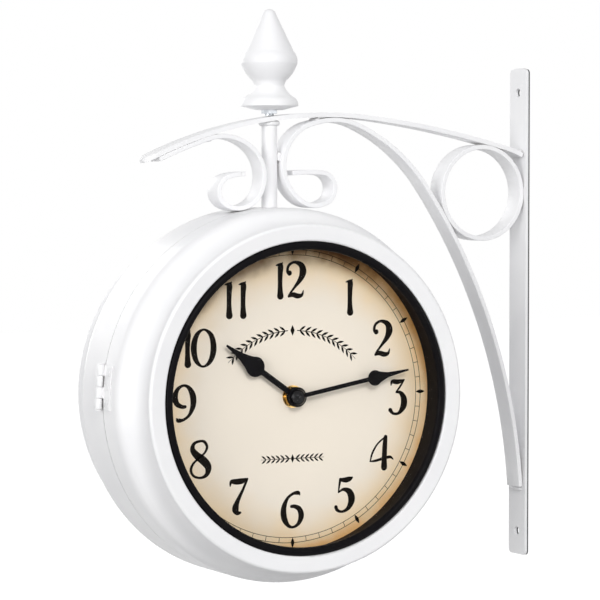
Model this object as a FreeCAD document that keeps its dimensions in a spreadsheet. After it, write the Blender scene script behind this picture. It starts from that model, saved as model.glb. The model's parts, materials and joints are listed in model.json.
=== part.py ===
import FreeCAD, Part
import math
import os
from types import SimpleNamespace

import Sketcher
from FreeCAD import Placement, Rotation, Vector

# Double sided station clock on a scrolled wall bracket. All sizes are in millimetres.
# The origin is on the wall plate's back, midway between its two screw holes.
# +X goes into the wall, +Z is up, and the front dial faces -Y.
#
# The pieces of each dial side are drawn in that side's own axes: X to the right and Y up
# for someone who reads the dial, Z out of the dial, from the rod's axis at the dial's centre.

DIMENSIONS = [
    # wall plate
    ("plate_length", 335.0), ("plate_width", 21.0), ("bar_gauge", 3.0),
    ("screw_pitch", 303.0), ("screw_hole_radius", 3.0), ("plate_corner", 3.0),
    # bent straps, ring, rod and finial
    ("strap_width", 16.0), ("ring_radius", 32.69), ("ring_height", 82.78),
    ("rod_reach", 195.0), ("rod_radius", 5.25), ("rod_top", 129.8), ("rod_bottom", 56.0),
    ("rod_washer_gauge", 1.5), ("rod_nut_height", 6.0), ("rod_nut_reach", 9.5),
    ("finial_foot", 137.6), ("stud_radius", 3.0), ("stud_depth", 12.0), ("stud_start", 133.9),
    ("stud_nut_height", 2.4), ("bead_radius", 1.6),
    # case, as radius from the dial's centre and as distance out from the rod's axis
    ("clock_drop", 49.0), ("case_radius", 122.5), ("sheet_gauge", 1.2), ("seam_out", 7.0),
    ("shoulder_radius", 9.0), ("cove_radius", 17.5), ("cove_floor", 110.3),
    ("rim_radius", 112.8), ("rim_out", 58.2), ("rim_corner", 2.0), ("rim_opening", 101.5),
    ("rod_hole_radius", 5.4), ("locating_depth", 4.0), ("slip_gap", 0.4), ("gasket_gauge", 0.6),
    ("lip_hem", 1.6), ("rim_return", 2.0),
    # hinge, turned a little up from the case's left side
    ("hinge_lift", 4.0), ("hinge_axis_radius", 125.1), ("knuckle_radius", 2.2),
    ("knuckle_length", 7.2), ("knuckle_gap", 0.3), ("pin_radius", 1.0), ("pin_bore_radius", 1.05),
    ("leaf_gauge", 0.8), ("tab_gauge", 1.4), ("leaf_clearance", 2.7), ("leaf_width", 12.5),
    ("rivet_radius", 1.0), ("rivet_head_radius", 1.9), ("rivet_head_height", 0.35), ("rivet_out", 8.6),
    # magnetic catch
    ("magnet_depth", 12.8), ("strike_out", 11.0), ("strike_leg", 6.5), ("strike_gauge", 1.2),
    # liner, lens and dial
    ("liner_radius", 101.0), ("liner_gauge", 0.8), ("lip_radius", 96.0), ("lip_out", 55.4),
    ("lens_radius", 100.6), ("lens_gauge", 2.0), ("lens_out", 54.0),
    ("dial_radius", 111.0), ("dial_gauge", 1.5), ("dial_out", 33.5),
    ("support_opening", 100.0), ("support_foot", 18.2), ("support_bend", 23.0),
    ("dial_rivet_circle", 108.6), ("dial_rivet_radius", 1.5), ("dial_rivet_head", 2.3),
    # movement, shafts and hands
    ("housing_width", 56.0), ("housing_depth", 14.4), ("housing_wall", 1.5), ("housing_corner", 5.0),
    ("cover_gauge", 1.6), ("nut_reach", 6.0), ("hour_wheel_radius", 10.0), ("minute_wheel_radius", 8.0),
    ("washer_gauge", 0.6), ("bushing_radius", 4.0), ("bushing_bore", 2.7), ("nut_gauge", 2.0),
    ("hour_pipe_radius", 2.65), ("hour_pipe_bore", 1.75), ("minute_shaft_radius", 1.7),
    ("hand_gauge", 0.6), ("hand_hub_radius", 6.5), ("hour_hand_out", 37.6),
    ("minute_hand_out", 40.3), ("cap_radius", 5.3), ("cap_dome", 3.0), ("cap_band", 1.0),
    ("battery_radius", 6.2), ("battery_length", 49.0), ("knob_radius", 6.0), ("knob_depth", 4.2),
    ("knob_shaft_radius", 1.5),
]

# Where the hands stand, in degrees clockwise from twelve.
MINUTE_HAND_ANGLE = 79.5
HOUR_HAND_ANGLE = -55.0

# A bent strap is a run of tangent arcs: where its centre line starts in the bracket's plane
# (right and up from the dial's centre), its heading in degrees, and (radius, turn) of each arc.
# A left turn is positive.
ARM_START, ARM_HEADING = (-92.05, 152.82), 29.59
ARM_ARCS = [(58.0, -4.39), (303.0, -31.8), (723.0, -8.4), (56.6, -12.3)]
BRACE_START, BRACE_HEADING = (13.4, 145.1), 6.0
BRACE_ARCS = [(124.3, -10.3), (10.4, -148.2), (19.8, -64.0), (28.4, -126.7),
              (73.2, -9.2), (47.1, -29.9), (121.7, -31.9), (401.0, -31.8)]
SCROLL_START, SCROLL_HEADING = (-82.58, 153.88), 24.17
SCROLL_ARCS = [(343.3, -6.37), (32.9, -57.3), (24.2, -75.1), (18.5, -92.2),
               (10.1, -133.9), (36.1, -19.8)]

# How far right of the rod the arm's tip lies, and its round end's radius over half its width.
ARM_TIP, TIP_ROUND = -92.4, 1.02

# The finial's outline from foot to tip: (radius, height above the foot), and the radius of the
# arc that leads on from there: positive where it bulges, negative where it is hollow, 0 straight.
FINIAL_OUTLINE = [(9.0, 0.0, 0), (19.2, 2.6, 6.2), (17.0, 8.0, -15.0), (9.9, 15.8, -7.0),
                  (12.4, 20.4, 26.0), (18.6, 30.6, 10.5), (16.2, 38.4, 0), (4.6, 62.6, 0)]
FINIAL_TIP = 66.2

# Where the weld beads lie: name, right of the rod's axis, height.
BEAD_SPOTS = [("arm_to_plate", 190.8, 110.6), ("brace_to_plate", 191.4, -121.6),
              ("ring_to_plate_top", 191.4, 88.8), ("ring_to_plate_low", 191.4, 76.8),
              ("brace_to_arm", 33.5, 131.0), ("scroll_to_arm", -45.6, 118.0),
              ("ring_to_arm_left", 162.4, 114.9), ("ring_to_arm_right", 172.4, 112.7),
              ("ring_to_brace_top", 128.6, 70.6), ("ring_to_brace_low", 134.4, 61.0)]

# The bow of the plate's top end, as its radius over the plate's width.
TOP_BOW = 1.5

# How far along the case the three rivets of a hinge leaf stand.
RIVET_SPOTS = (-9.0, 0.0, 9.0)

# Inside the movement: the setting knob's shaft, the battery's height, and where the wheels lie
# behind the housing's front.
KNOB_RIGHT, KNOB_UP = 12.0, 9.0
BATTERY_UP, BATTERY_DEPTH = -17.0, 6.4
CONTACT_SPOTS = (-25.4, 24.9)
HOUR_WHEEL_DEPTH, MINUTE_WHEEL_DEPTH, WHEEL_GAUGE = 5.6, 8.6, 1.0

# A hand's outline: reach, spade centre, spade radius, tip half width and shank half width.
MINUTE_PLAN = (83.9, 58.3, 5.1, 0.55, 1.4)
HOUR_PLAN = (60.6, 35.6, 6.6, 0.6, 1.9)
# Where a spade's round back ends, in degrees from its widest line, and the two places its edge
# sweeps through on the way to the point: half width and height above its centre, over its radius.
SPADE_BROW = 35.0
SPADE_FLANK, SPADE_SHOULDER = (0.56, 1.2), (0.3, 2.25)


class Size:
    """A length from the dimension sheet: its value now and the expression that gives it."""

    def __init__(self, value, text):
        self.value = float(value)
        self.text = text

    def _joined(self, other, sign, value):
        other = as_size(other)
        return Size(value, "(%s %s %s)" % (self.text, sign, other.text))

    def __add__(self, other):
        return self._joined(other, "+", self.value + as_size(other).value)

    def __sub__(self, other):
        return self._joined(other, "-", self.value - as_size(other).value)

    def __mul__(self, other):
        return self._joined(other, "*", self.value * as_size(other).value)

    def __truediv__(self, other):
        return self._joined(other, "/", self.value / as_size(other).value)

    def __neg__(self):
        return Size(-self.value, "(0 - %s)" % self.text)

    def __radd__(self, other):
        return as_size(other) + self

    def __rsub__(self, other):
        return as_size(other) - self

    def __rmul__(self, other):
        return as_size(other) * self

    def root(self):
        return Size(math.sqrt(self.value), "sqrt(%s)" % self.text)


def as_size(item):
    return item if isinstance(item, Size) else Size(item, repr(float(item)))


def dimension_sheet(doc):
    """Write the driving dimensions into the sheet and return them by name."""
    sheet = doc.addObject("Spreadsheet::Sheet", "dims")
    sizes = {}
    for row, (alias, value) in enumerate(DIMENSIONS, start=1):
        sheet.set("A%d" % row, alias)
        sheet.set("B%d" % row, repr(value))
        sheet.setAlias("B%d" % row, alias)
        sizes[alias] = Size(value, "dims." + alias)
    doc.recompute()
    return SimpleNamespace(**sizes)


doc = FreeCAD.newDocument("station_clock")
D = dimension_sheet(doc)
nodes = []

# Directions, and the placements of the bracket and of the two dial sides.
X_DIRECTION, Y_DIRECTION, Z_DIRECTION = Vector(1, 0, 0), Vector(0, 1, 0), Vector(0, 0, 1)
FACING_FRONT = Rotation(X_DIRECTION, 90)
FACING_REAR = Rotation(Z_DIRECTION, 180) * FACING_FRONT
CLOCK_CENTRE = (-D.rod_reach, as_size(0), -D.clock_drop)


def bind(item, **properties):
    """Set each property to its size and tie it to the sheet."""
    for name, given in properties.items():
        given = as_size(given)
        setattr(item, name, given.value)
        if "dims." in given.text:
            item.setExpression(name, given.text)


def place(item, base=(0, 0, 0), rotation=Rotation()):
    """Put an object at a place given by sizes."""
    base = [as_size(part) for part in base]
    item.Placement = Placement(Vector(*[part.value for part in base]), rotation)
    for letter, part in zip("xyz", base):
        if "dims." in part.text:
            item.setExpression(".Placement.Base." + letter, part.text)


def node(item, label):
    """Name an object as one of the clock's sub-parts."""
    item.Label = label
    nodes.append(item)
    return item


# ---------------------------------------------------------------- sketches and bodies

def new_body(label, base=(0, 0, 0), rotation=Rotation()):
    body = doc.addObject("PartDesign::Body", label + "_body")
    place(body, base, rotation)
    return body


def new_sketch(body, plane, name, lift=0):
    """A sketch on one of the body's own origin planes, moved along its normal by lift."""
    sketch = body.newObject("Sketcher::SketchObject", name)
    support = [part for part in body.Origin.OriginFeatures if part.Role == plane][0]
    sketch.AttachmentSupport = (support, [""])
    sketch.MapMode = "FlatFace"
    lift = as_size(lift)
    sketch.AttachmentOffset = Placement(Vector(0, 0, lift.value), Rotation())
    if "dims." in lift.text:
        sketch.setExpression(".AttachmentOffset.Base.z", lift.text)
    return sketch


def constrain(sketch, kind, where, given):
    """Add a dimension to the sketch and tie it to the sheet."""
    index = sketch.addConstraint(Sketcher.Constraint(kind, *where, given.value))
    if "dims." in given.text:
        sketch.setExpression("Constraints[%d]" % index, given.text)


def pin_point(sketch, line, end, right, up):
    """Fix one end of a line at a place given by two sizes."""
    for kind, axis, given in (("DistanceX", -2, as_size(right)), ("DistanceY", -1, as_size(up))):
        if abs(given.value) < 1e-9:
            sketch.addConstraint(Sketcher.Constraint("PointOnObject", line, end, axis))
        elif given.value > 0:
            constrain(sketch, kind, (-1, 1, line, end), given)
        else:
            constrain(sketch, kind, (line, end, -1, 1), -given)


def arc_between(start, finish, radius, turn):
    """The smaller arc from start to finish; turn is +1 for a left turn and -1 for a right one."""
    half = (finish - start).Length / 2
    rise = math.sqrt(max(radius * radius - half * half, 0.0))
    along = (finish - start).normalize()
    centre = (start + finish) / 2 + Vector(-along.y, along.x, 0) * rise * turn
    first, last = (start, finish) if turn > 0 else (finish, start)
    angles = [math.atan2(point.y - centre.y, point.x - centre.x) for point in (first, last)]
    return Part.ArcOfCircle(Part.Circle(centre, Z_DIRECTION, radius), angles[0], angles[1])


def add_outline(sketch, points, arcs=None):
    """Draw a closed outline through points given as pairs of sizes.

    arcs maps the number of a point to (radius, turn) of the arc that leaves it.
    """
    arcs = arcs or {}
    places = [Vector(as_size(right).value, as_size(up).value, 0) for right, up in points]
    lines = []
    for number, start in enumerate(places):
        finish = places[(number + 1) % len(places)]
        if number in arcs:
            radius, turn = as_size(arcs[number][0]), arcs[number][1]
            line = sketch.addGeometry(arc_between(start, finish, radius.value, turn), False)
            constrain(sketch, "Radius", (line,), radius)
            lines.append((line, 1, 2) if turn > 0 else (line, 2, 1))
        else:
            line = sketch.addGeometry(Part.LineSegment(start, finish), False)
            lines.append((line, 1, 2))
    for number, (line, begin, end) in enumerate(lines):
        following = lines[(number + 1) % len(lines)]
        sketch.addConstraint(Sketcher.Constraint("Coincident", line, end, following[0], following[1]))
        pin_point(sketch, line, begin, *points[number])


def add_circle(sketch, radius, right=0, up=0):
    """Draw a circle of a given radius at a place given by two sizes."""
    radius, right, up = as_size(radius), as_size(right), as_size(up)
    centre = Vector(right.value, up.value, 0)
    line = sketch.addGeometry(Part.Circle(centre, Z_DIRECTION, radius.value), False)
    constrain(sketch, "Radius", (line,), radius)
    pin_point(sketch, line, 3, right, up)


def revolve(body, points, arcs=None):
    """Turn an outline, given as (radius, height) pairs, about the body's Z axis."""
    sketch = new_sketch(body, "XZ_Plane", body.Name + "_outline")
    add_outline(sketch, points, arcs)
    feature = body.newObject("PartDesign::Revolution", body.Name + "_turned")
    feature.Profile = sketch
    feature.ReferenceAxis = (sketch, ["V_Axis"])
    feature.Angle = 360
    body.Tip = feature
    doc.recompute()
    return feature


def pad(body, sketch, length, centred=False):
    """Raise a sketch by a length, on both sides of its plane where it is centred."""
    feature = body.newObject("PartDesign::Pad", body.Name + "_raised")
    feature.Profile = sketch
    bind(feature, Length=length)
    if centred:
        feature.SideType = "Symmetric"
    body.Tip = feature
    doc.recompute()
    return feature


def pocket_through(body, sketch):
    """Cut a sketch through the whole body, both ways from its plane."""
    feature = body.newObject("PartDesign::Pocket", body.Name + "_cut")
    feature.Profile = sketch
    feature.Type = "ThroughAll"
    feature.SideType = "Symmetric"
    body.Tip = feature
    doc.recompute()
    return feature


def bore(body, radius, height, base, rotation=Rotation()):
    """Cut a round hole with a cylinder that starts at base and runs along its own Z axis."""
    feature = body.newObject("PartDesign::SubtractiveCylinder", body.Name + "_bore")
    bind(feature, Radius=radius, Height=height)
    place(feature, base, rotation)
    body.Tip = feature
    doc.recompute()
    return feature


# ---------------------------------------------------------------- primitives

def cylinder(name, radius, height, base=(0, 0, 0), rotation=Rotation(), angle=360):
    item = doc.addObject("Part::Cylinder", name)
    bind(item, Radius=radius, Height=height)
    item.Angle = angle
    place(item, base, rotation)
    return item


def box(name, sizes, base=(0, 0, 0), rotation=Rotation()):
    item = doc.addObject("Part::Box", name)
    bind(item, Length=sizes[0], Width=sizes[1], Height=sizes[2])
    place(item, base, rotation)
    return item


def prism(name, reach, height, base=(0, 0, 0), rotation=Rotation()):
    """A hexagon bar; reach is from its axis to a corner."""
    item = doc.addObject("Part::Prism", name)
    item.Polygon = 6
    bind(item, Circumradius=reach, Height=height)
    place(item, base, rotation)
    return item


def cut(name, base, tool):
    item = doc.addObject("Part::Cut", name)
    item.Base, item.Tool = base, tool
    return item


def fuse(name, pieces):
    item = doc.addObject("Part::MultiFuse", name)
    item.Shapes = pieces
    return item


def group(name, pieces):
    """Separate solids that share one sub-part."""
    item = doc.addObject("Part::Compound", name)
    item.Links = pieces
    return item


def tube(name, outer, inner, height, base=(0, 0, 0), rotation=Rotation(), angle=360):
    """A tube, or a sector of one, along its own Z axis."""
    wall = cylinder(name + "_outer", outer, height, base, rotation, angle)
    hole = cylinder(name + "_inner", inner, height, base, rotation, angle)
    return cut(name, wall, hole)


# ---------------------------------------------------------------- wall bracket

def wall_plate():
    """Flat bar with rounded corners, a slightly bowed top and a screw hole near each end."""
    body = new_body("wall_plate", (-D.bar_gauge, 0, 0))
    sketch = new_sketch(body, "YZ_Plane", "plate_outline")
    half_width, half_length = D.plate_width / 2, D.plate_length / 2
    corner = D.plate_corner
    inner, end = half_width - corner, half_length - corner
    points = [(-half_width, -end), (-inner, -half_length), (inner, -half_length),
              (half_width, -end), (half_width, end), (inner, half_length),
              (-inner, half_length), (-half_width, end)]
    arcs = {0: (corner, 1), 2: (corner, 1), 4: (corner, 1), 5: (D.plate_width * TOP_BOW, 1),
            6: (corner, 1)}
    add_outline(sketch, points, arcs)
    pad(body, sketch, D.bar_gauge)
    holes = new_sketch(body, "YZ_Plane", "plate_holes")
    for height in (D.screw_pitch / 2, -(D.screw_pitch / 2)):
        add_circle(holes, D.screw_hole_radius, 0, height)
    pocket_through(body, holes)
    return node(body, "wall_plate")


def strap_path(start, heading, arcs):
    """The centres, radii and angles of a run of tangent arcs, in the bracket's plane."""
    place_now, heading = Vector(start[0], start[1], 0), math.radians(heading)
    path = []
    for radius, turn in arcs:
        side = 1 if turn > 0 else -1
        left = Vector(-math.sin(heading), math.cos(heading), 0)
        centre = place_now + left * radius * side
        finish = heading + math.radians(turn)
        path.append((centre, radius, side, heading, finish))
        heading = finish
        place_now = centre + Vector(math.sin(heading), -math.cos(heading), 0) * radius * side
    return path


def arc_on_side(stretch, offset):
    """One arc of a path, moved to the left of it by offset, as a curve from start to finish."""
    centre, radius, side, heading, finish = stretch
    radius = radius - side * offset
    ends = []
    for angle in (heading, (heading + finish) / 2, finish):
        out = Vector(math.sin(angle), -math.cos(angle), 0)
        ends.append(centre + out * radius * side)
    return ends


def bent_strap(label, start, heading, arcs):
    """Flat bar bent on the flat along tangent arcs, as wide as the straps are."""
    body = new_body(label, (-D.rod_reach, 0, -D.clock_drop))
    sketch = new_sketch(body, "XZ_Plane", label + "_edge")
    half = D.bar_gauge.value / 2
    path = strap_path(start, heading, arcs)
    near = [arc_on_side(stretch, half) for stretch in path]
    far = [arc_on_side(stretch, -half) for stretch in path]
    sketch.addGeometry(Part.LineSegment(far[0][0], near[0][0]), False)
    for ends in near:
        sketch.addGeometry(Part.Arc(*ends), False)
    sketch.addGeometry(Part.LineSegment(near[-1][2], far[-1][2]), False)
    for ends in reversed(far):
        sketch.addGeometry(Part.Arc(ends[2], ends[1], ends[0]), False)
    pad(body, sketch, D.strap_width, centred=True)
    return node(body, label)


def round_tip(body, tip):
    """Round a strap's free left end, seen from above; tip is how far right of the rod it ends."""
    half, margin = D.strap_width / 2, as_size(3.0)
    radius = half * TIP_ROUND
    shoulder = tip + half * TIP_ROUND - half * math.sqrt(TIP_ROUND ** 2 - 1)
    sketch = new_sketch(body, "XY_Plane", body.Name + "_tip_corners")
    points = [(shoulder, -half), (shoulder, half), (shoulder, half + margin),
              (tip - margin, half + margin), (tip - margin, -half - margin),
              (shoulder, -half - margin)]
    add_outline(sketch, points, {0: (radius, -1)})
    pocket_through(body, sketch)


def bracket_ring():
    """Flat bar rolled into a ring that touches the wall plate."""
    centre = (-D.bar_gauge - D.ring_radius, D.strap_width / 2, D.ring_height)
    body = new_body("bracket_ring", centre, Rotation(X_DIRECTION, 90))
    sketch = new_sketch(body, "XY_Plane", "ring_outline")
    add_circle(sketch, D.ring_radius)
    add_circle(sketch, D.ring_radius - D.bar_gauge)
    pad(body, sketch, D.strap_width)
    return node(body, "bracket_ring")


def hanger_rod():
    """Round rod from under the arm into the top of the case."""
    rod = cylinder("rod", D.rod_radius, D.rod_top - D.rod_bottom, (-D.rod_reach, 0, D.rod_bottom))
    return node(rod, "hanger_rod")


def rod_fixings():
    """A washer and a hexagon nut inside the case, threaded on the rod's lower end."""
    foot = (-D.rod_reach, 0, D.rod_bottom + 2.0)
    washer = tube("rod_washer", D.rod_nut_reach + 0.5, D.rod_radius, D.rod_washer_gauge,
                  (-D.rod_reach, 0, D.rod_bottom + D.rod_nut_height + 2.2))
    blank = prism("rod_nut_blank", D.rod_nut_reach, D.rod_nut_height, foot)
    hole = cylinder("rod_nut_hole", D.rod_radius, D.rod_nut_height, foot)
    return node(group("rod_fixings", [washer, cut("rod_nut", blank, hole)]), "rod_nut_and_washer")


def finial():
    """Turned ornament above the arm, with a blind hole for its stud."""
    body = new_body("finial", (-D.rod_reach, 0, D.finial_foot))
    points = [(radius, height) for radius, height, _ in FINIAL_OUTLINE]
    points += [(0, FINIAL_TIP), (0, D.stud_depth), (D.stud_radius, D.stud_depth),
               (D.stud_radius, 0)]
    arcs = {number: (abs(arc), 1 if arc > 0 else -1)
            for number, (_, _, arc) in enumerate(FINIAL_OUTLINE) if arc}
    top_radius, top_height, _ = FINIAL_OUTLINE[-1]
    rise = FINIAL_TIP - top_height
    arcs[len(FINIAL_OUTLINE) - 1] = ((top_radius ** 2 + rise ** 2) / (2 * rise), 1)
    revolve(body, points, arcs)
    return node(body, "finial")


def finial_stud():
    """Threaded stud with a hexagon nut between the arm and the finial."""
    length = D.finial_foot + D.stud_depth - D.stud_start - 0.3
    stud = cylinder("stud", D.stud_radius, length, (-D.rod_reach, 0, D.stud_start))
    nut = prism("stud_nut", D.stud_radius + 2.8, D.stud_nut_height,
                (-D.rod_reach, 0, D.finial_foot - D.stud_nut_height))
    return node(fuse("finial_stud", [stud, nut]), "finial_stud")


def weld_beads():
    """Short round beads across the straps, where they meet each other, the rod and the plate."""
    run = D.strap_width * 0.8
    across = Rotation(X_DIRECTION, 90)
    pieces = [cylinder(name, D.bead_radius, run, (right - D.rod_reach, run / 2, height), across)
              for name, right, height in BEAD_SPOTS]
    run_along = D.rod_radius * 1.1
    for name, side, height in (("scroll_to_rod", -1, 88.0), ("brace_to_rod", 1, 104.0)):
        base = (side * (D.rod_radius + 0.4) - D.rod_reach, -D.rod_radius * 0.6, height)
        pieces.append(cylinder(name, D.bead_radius, run_along, base))
    collar = D.bead_radius
    pieces.append(cylinder("rod_to_arm", D.rod_radius + 1.2, collar,
                           (-D.rod_reach, 0, D.rod_top - collar - 0.4)))
    return node(fuse("weld_beads", pieces), "weld_beads")


# ---------------------------------------------------------------- case

def case_outline(seam, inset):
    """Points and arcs of the case's wall on one face, from the seam to the rim's opening.

    inset is how far the face lies inside the outer skin.
    """
    shoulder = D.shoulder_radius
    cove_centre = D.cove_floor + D.cove_radius
    shoulder_centre = D.case_radius - shoulder
    corner_centre, corner_out = D.rim_radius - D.rim_corner, D.rim_out - D.rim_corner
    to_corner, to_shoulder = D.cove_radius + D.rim_corner, D.cove_radius + shoulder
    fall = cove_centre - corner_centre
    cove_out = corner_out - (to_corner * to_corner - fall * fall).root()
    fall = cove_centre - shoulder_centre
    shoulder_out = cove_out - (to_shoulder * to_shoulder - fall * fall).root()
    first, second = (shoulder - inset) / to_shoulder, (D.rim_corner - inset) / to_corner
    shoulder_end = (shoulder_centre + (cove_centre - shoulder_centre) * first,
                    shoulder_out + (cove_out - shoulder_out) * first)
    cove_end = (corner_centre + (cove_centre - corner_centre) * second,
                corner_out + (cove_out - corner_out) * second)
    points = [(D.case_radius - inset, seam), (D.case_radius - inset, shoulder_out), shoulder_end,
              cove_end, (corner_centre, D.rim_out - inset)]
    arcs = {1: (shoulder - inset, 1), 2: (D.cove_radius + inset, -1), 3: (D.rim_corner - inset, 1)}
    return points, arcs


def case_half(label, seam, rotation, lip=()):
    """One spun half of the case, from the seam to the rim round the dial's opening.

    lip holds the points that lead from the inner skin back to the outer one at the seam.
    """
    body = new_body(label, CLOCK_CENTRE, rotation)
    points, arcs = case_outline(seam, as_size(0))
    inner_points, inner_arcs = case_outline(seam, D.sheet_gauge)
    curl, edge = D.sheet_gauge, D.rim_out - D.sheet_gauge / 2
    points += [(D.rim_opening + curl, edge), (D.rim_opening, edge - curl),
               (D.rim_opening, edge - D.rim_return), (D.rim_opening + curl, edge - D.rim_return),
               (D.rim_opening + curl, edge - curl)]
    arcs[5] = (curl, 1)
    offset, count = len(points), len(inner_points)
    points += list(reversed(inner_points))
    for number, (radius, turn) in inner_arcs.items():
        arcs[offset + count - 2 - number] = (radius, -turn)
    if lip:
        points = points[:-1] + list(lip)
    revolve(body, points, arcs)
    return body


def front_case():
    """The hinged half of the case."""
    body = case_half("front_case", D.seam_out, FACING_FRONT)
    drill_rivet_holes(body, FACING_FRONT, 1)
    return node(body, "front_case")


def rear_case():
    """The fixed half: the rod holds its top, and a stepped lip locates the front half."""
    inner = D.case_radius - D.sheet_gauge
    slip = inner - D.slip_gap
    step = D.gasket_gauge - D.seam_out
    tip = -(D.seam_out + D.locating_depth)
    hem = as_size(-1.0)
    lip = [(inner, hem), (slip - D.sheet_gauge, hem - D.lip_hem), (slip - D.sheet_gauge, tip),
           (slip, tip), (slip, step)]
    body = case_half("rear_case", step, FACING_REAR, lip)
    bore(body, D.rod_hole_radius, D.case_radius, (0, 0, 0), Rotation(X_DIRECTION, -90))
    drill_rivet_holes(body, FACING_REAR, -1)
    return node(body, "rear_case")


def case_gasket():
    """Thin rubber ring in the seam."""
    body = new_body("case_gasket", CLOCK_CENTRE, FACING_FRONT)
    low, high = D.seam_out - D.gasket_gauge, D.seam_out - 0.05
    inner, outer = D.case_radius - D.sheet_gauge, D.case_radius - 0.2
    revolve(body, [(inner, low), (outer, low), (outer, high), (inner, high)])
    return node(body, "case_gasket")


# ---------------------------------------------------------------- hinge

def hinge_frame(turn=0.0):
    """Rotation of axes with X out of the case's left side, Y up along the hinge, Z forward."""
    lift = D.hinge_lift.value
    facing = FACING_FRONT * Rotation(Z_DIRECTION, 180 - lift + turn)
    return facing


def hinge_sector(name, gauge, turn_from, turn, low, high):
    """A curved piece of leaf that lies on the case, low to high along the dial's axis."""
    inner = D.case_radius + 0.1
    return tube(name, inner + gauge, inner, high - low, centred_at(low),
                hinge_frame(turn_from), turn)


def centred_at(out):
    """The point on the dial's axis that is a distance out from the rod's axis, to the front."""
    return (-D.rod_reach, -as_size(out), -D.clock_drop)


def hinge_point(radius, along, out):
    """A point at a radius on the hinge's centre line, moved along the hinge and forward."""
    lift = math.radians(D.hinge_lift.value)
    radius, along, out = as_size(radius), as_size(along), as_size(out)
    right = -radius * math.cos(lift) + along * math.sin(lift)
    up = radius * math.sin(lift) + along * math.cos(lift)
    return (right - D.rod_reach, -out, up - D.clock_drop)


def along_hinge():
    """Rotation that turns a cylinder's own axis to the hinge pin's direction."""
    return Rotation(Y_DIRECTION, D.hinge_lift.value)


def knuckle_tab_turn():
    """How far a knuckle's tab goes round the case, in degrees."""
    reach = D.knuckle_length.value - D.knuckle_gap.value
    return math.degrees(reach / D.case_radius.value)


def hinge_leaf(label, side, knuckles):
    """A leaf on one side of the seam with its knuckles; side is +1 to the front, -1 to the rear."""
    half = D.knuckle_length * 2
    half_turn = math.degrees(half.value / D.case_radius.value)
    near, far = D.leaf_clearance, D.leaf_width
    low, high = (near, far) if side > 0 else (-far, -near)
    pieces = [hinge_sector(label + "_plate", D.leaf_gauge, -half_turn, 2 * half_turn,
                           D.seam_out + low, D.seam_out + high)]
    for number in knuckles:
        start = D.knuckle_length * number - half + D.knuckle_gap / 2
        length = D.knuckle_length - D.knuckle_gap
        name = "%s_knuckle_%d" % (label, number + 1)
        pieces.append(tube(name, D.knuckle_radius, D.pin_bore_radius, length,
                           hinge_point(D.hinge_axis_radius, start, D.seam_out), along_hinge()))
        begin = -math.degrees((start + length).value / D.case_radius.value)
        low, high = (1.3, near + 0.5) if side > 0 else (-near - 0.5, -1.3)
        pieces.append(hinge_sector(name + "_tab", D.tab_gauge, begin, knuckle_tab_turn(),
                                   D.seam_out + low, D.seam_out + high))
    leaf = fuse(label + "_fused", pieces)
    holes = [rivet_cylinder("%s_hole_%d" % (label, number), D.rivet_radius + 0.05, spot, side)
             for number, spot in enumerate(RIVET_SPOTS, start=1)]
    return node(cut(label + "_cut", leaf, fuse(label + "_holes", holes)), label)


def rivet_cylinder(name, radius, spot, side, start=None, height=None):
    """A cylinder along one rivet of a leaf, by default through the leaf and the case."""
    turn = math.degrees(spot / D.case_radius.value)
    lift = D.hinge_lift.value - turn
    start = D.case_radius - D.sheet_gauge * 2 if start is None else start
    height = D.sheet_gauge * 5 if height is None else height
    base = (-D.rod_reach - start * math.cos(math.radians(lift)),
            -(D.seam_out + side * D.rivet_out),
            start * math.sin(math.radians(lift)) - D.clock_drop)
    return cylinder(name, radius, height, base, Rotation(Y_DIRECTION, lift - 90))


def drill_rivet_holes(body, rotation, side):
    """Cut the rivet holes of one leaf in a case half."""
    inverse = Placement(Vector(*[part.value for part in CLOCK_CENTRE]), rotation).inverse()
    for number, spot in enumerate(RIVET_SPOTS, start=1):
        tool = rivet_cylinder("%s_tool_%d" % (body.Name, number), D.rivet_radius + 0.05, spot, side)
        local = inverse.multiply(tool.Placement)
        doc.removeObject(tool.Name)
        hole = body.newObject("PartDesign::SubtractiveCylinder", body.Name + "_rivet_hole")
        bind(hole, Radius=D.rivet_radius + 0.05, Height=D.sheet_gauge * 5)
        hole.Placement = local
        body.Tip = hole
        doc.recompute()


def hinge_rivets(label, side):
    """Three rivets with a head on the leaf and one inside the case."""
    pieces = []
    grip_start = D.case_radius - D.sheet_gauge
    grip = D.sheet_gauge + D.leaf_gauge + 0.1
    head, tall = D.rivet_head_radius, D.rivet_head_height
    for number, spot in enumerate(RIVET_SPOTS, start=1):
        stack = [rivet_cylinder("%s_%s_%d" % (label, name, number), radius, spot, side, start, height)
                 for name, radius, start, height in (
                     ("head", head, grip_start - tall - 0.05, tall),
                     ("shank", D.rivet_radius, grip_start - 0.1, grip + 0.2),
                     ("cap", head, grip_start + grip, tall))]
        pieces.append(fuse("%s_%d" % (label, number), stack))
    return node(group(label + "_group", pieces), label)


def hinge_pin():
    """Pin through all knuckles, with a small head at each end."""
    half = D.knuckle_length * 2
    pieces = [cylinder("pin_shank", D.pin_radius, half * 2 + 0.4,
                       hinge_point(D.hinge_axis_radius, -half - 0.2, D.seam_out), along_hinge())]
    for name, start in (("pin_foot", -half - 0.8), ("pin_head", half + 0.1)):
        pieces.append(cylinder(name, D.knuckle_radius - 0.4, 0.7,
                               hinge_point(D.hinge_axis_radius, start, D.seam_out), along_hinge()))
    return node(fuse("hinge_pin_fused", pieces), "hinge_pin")


# ---------------------------------------------------------------- catch

def catch_magnet():
    """Magnet on the right inside of the rear half's lip."""
    width, length = as_size(8.0), as_size(24.0)
    right = D.case_radius - D.sheet_gauge * 2 - D.slip_gap - 0.6
    front = D.strike_out - 0.2
    magnet = box("magnet", (width, D.magnet_depth, length),
                 (right - width - D.rod_reach, -front, -D.clock_drop - length / 2))
    return node(magnet, "catch_magnet")


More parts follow.
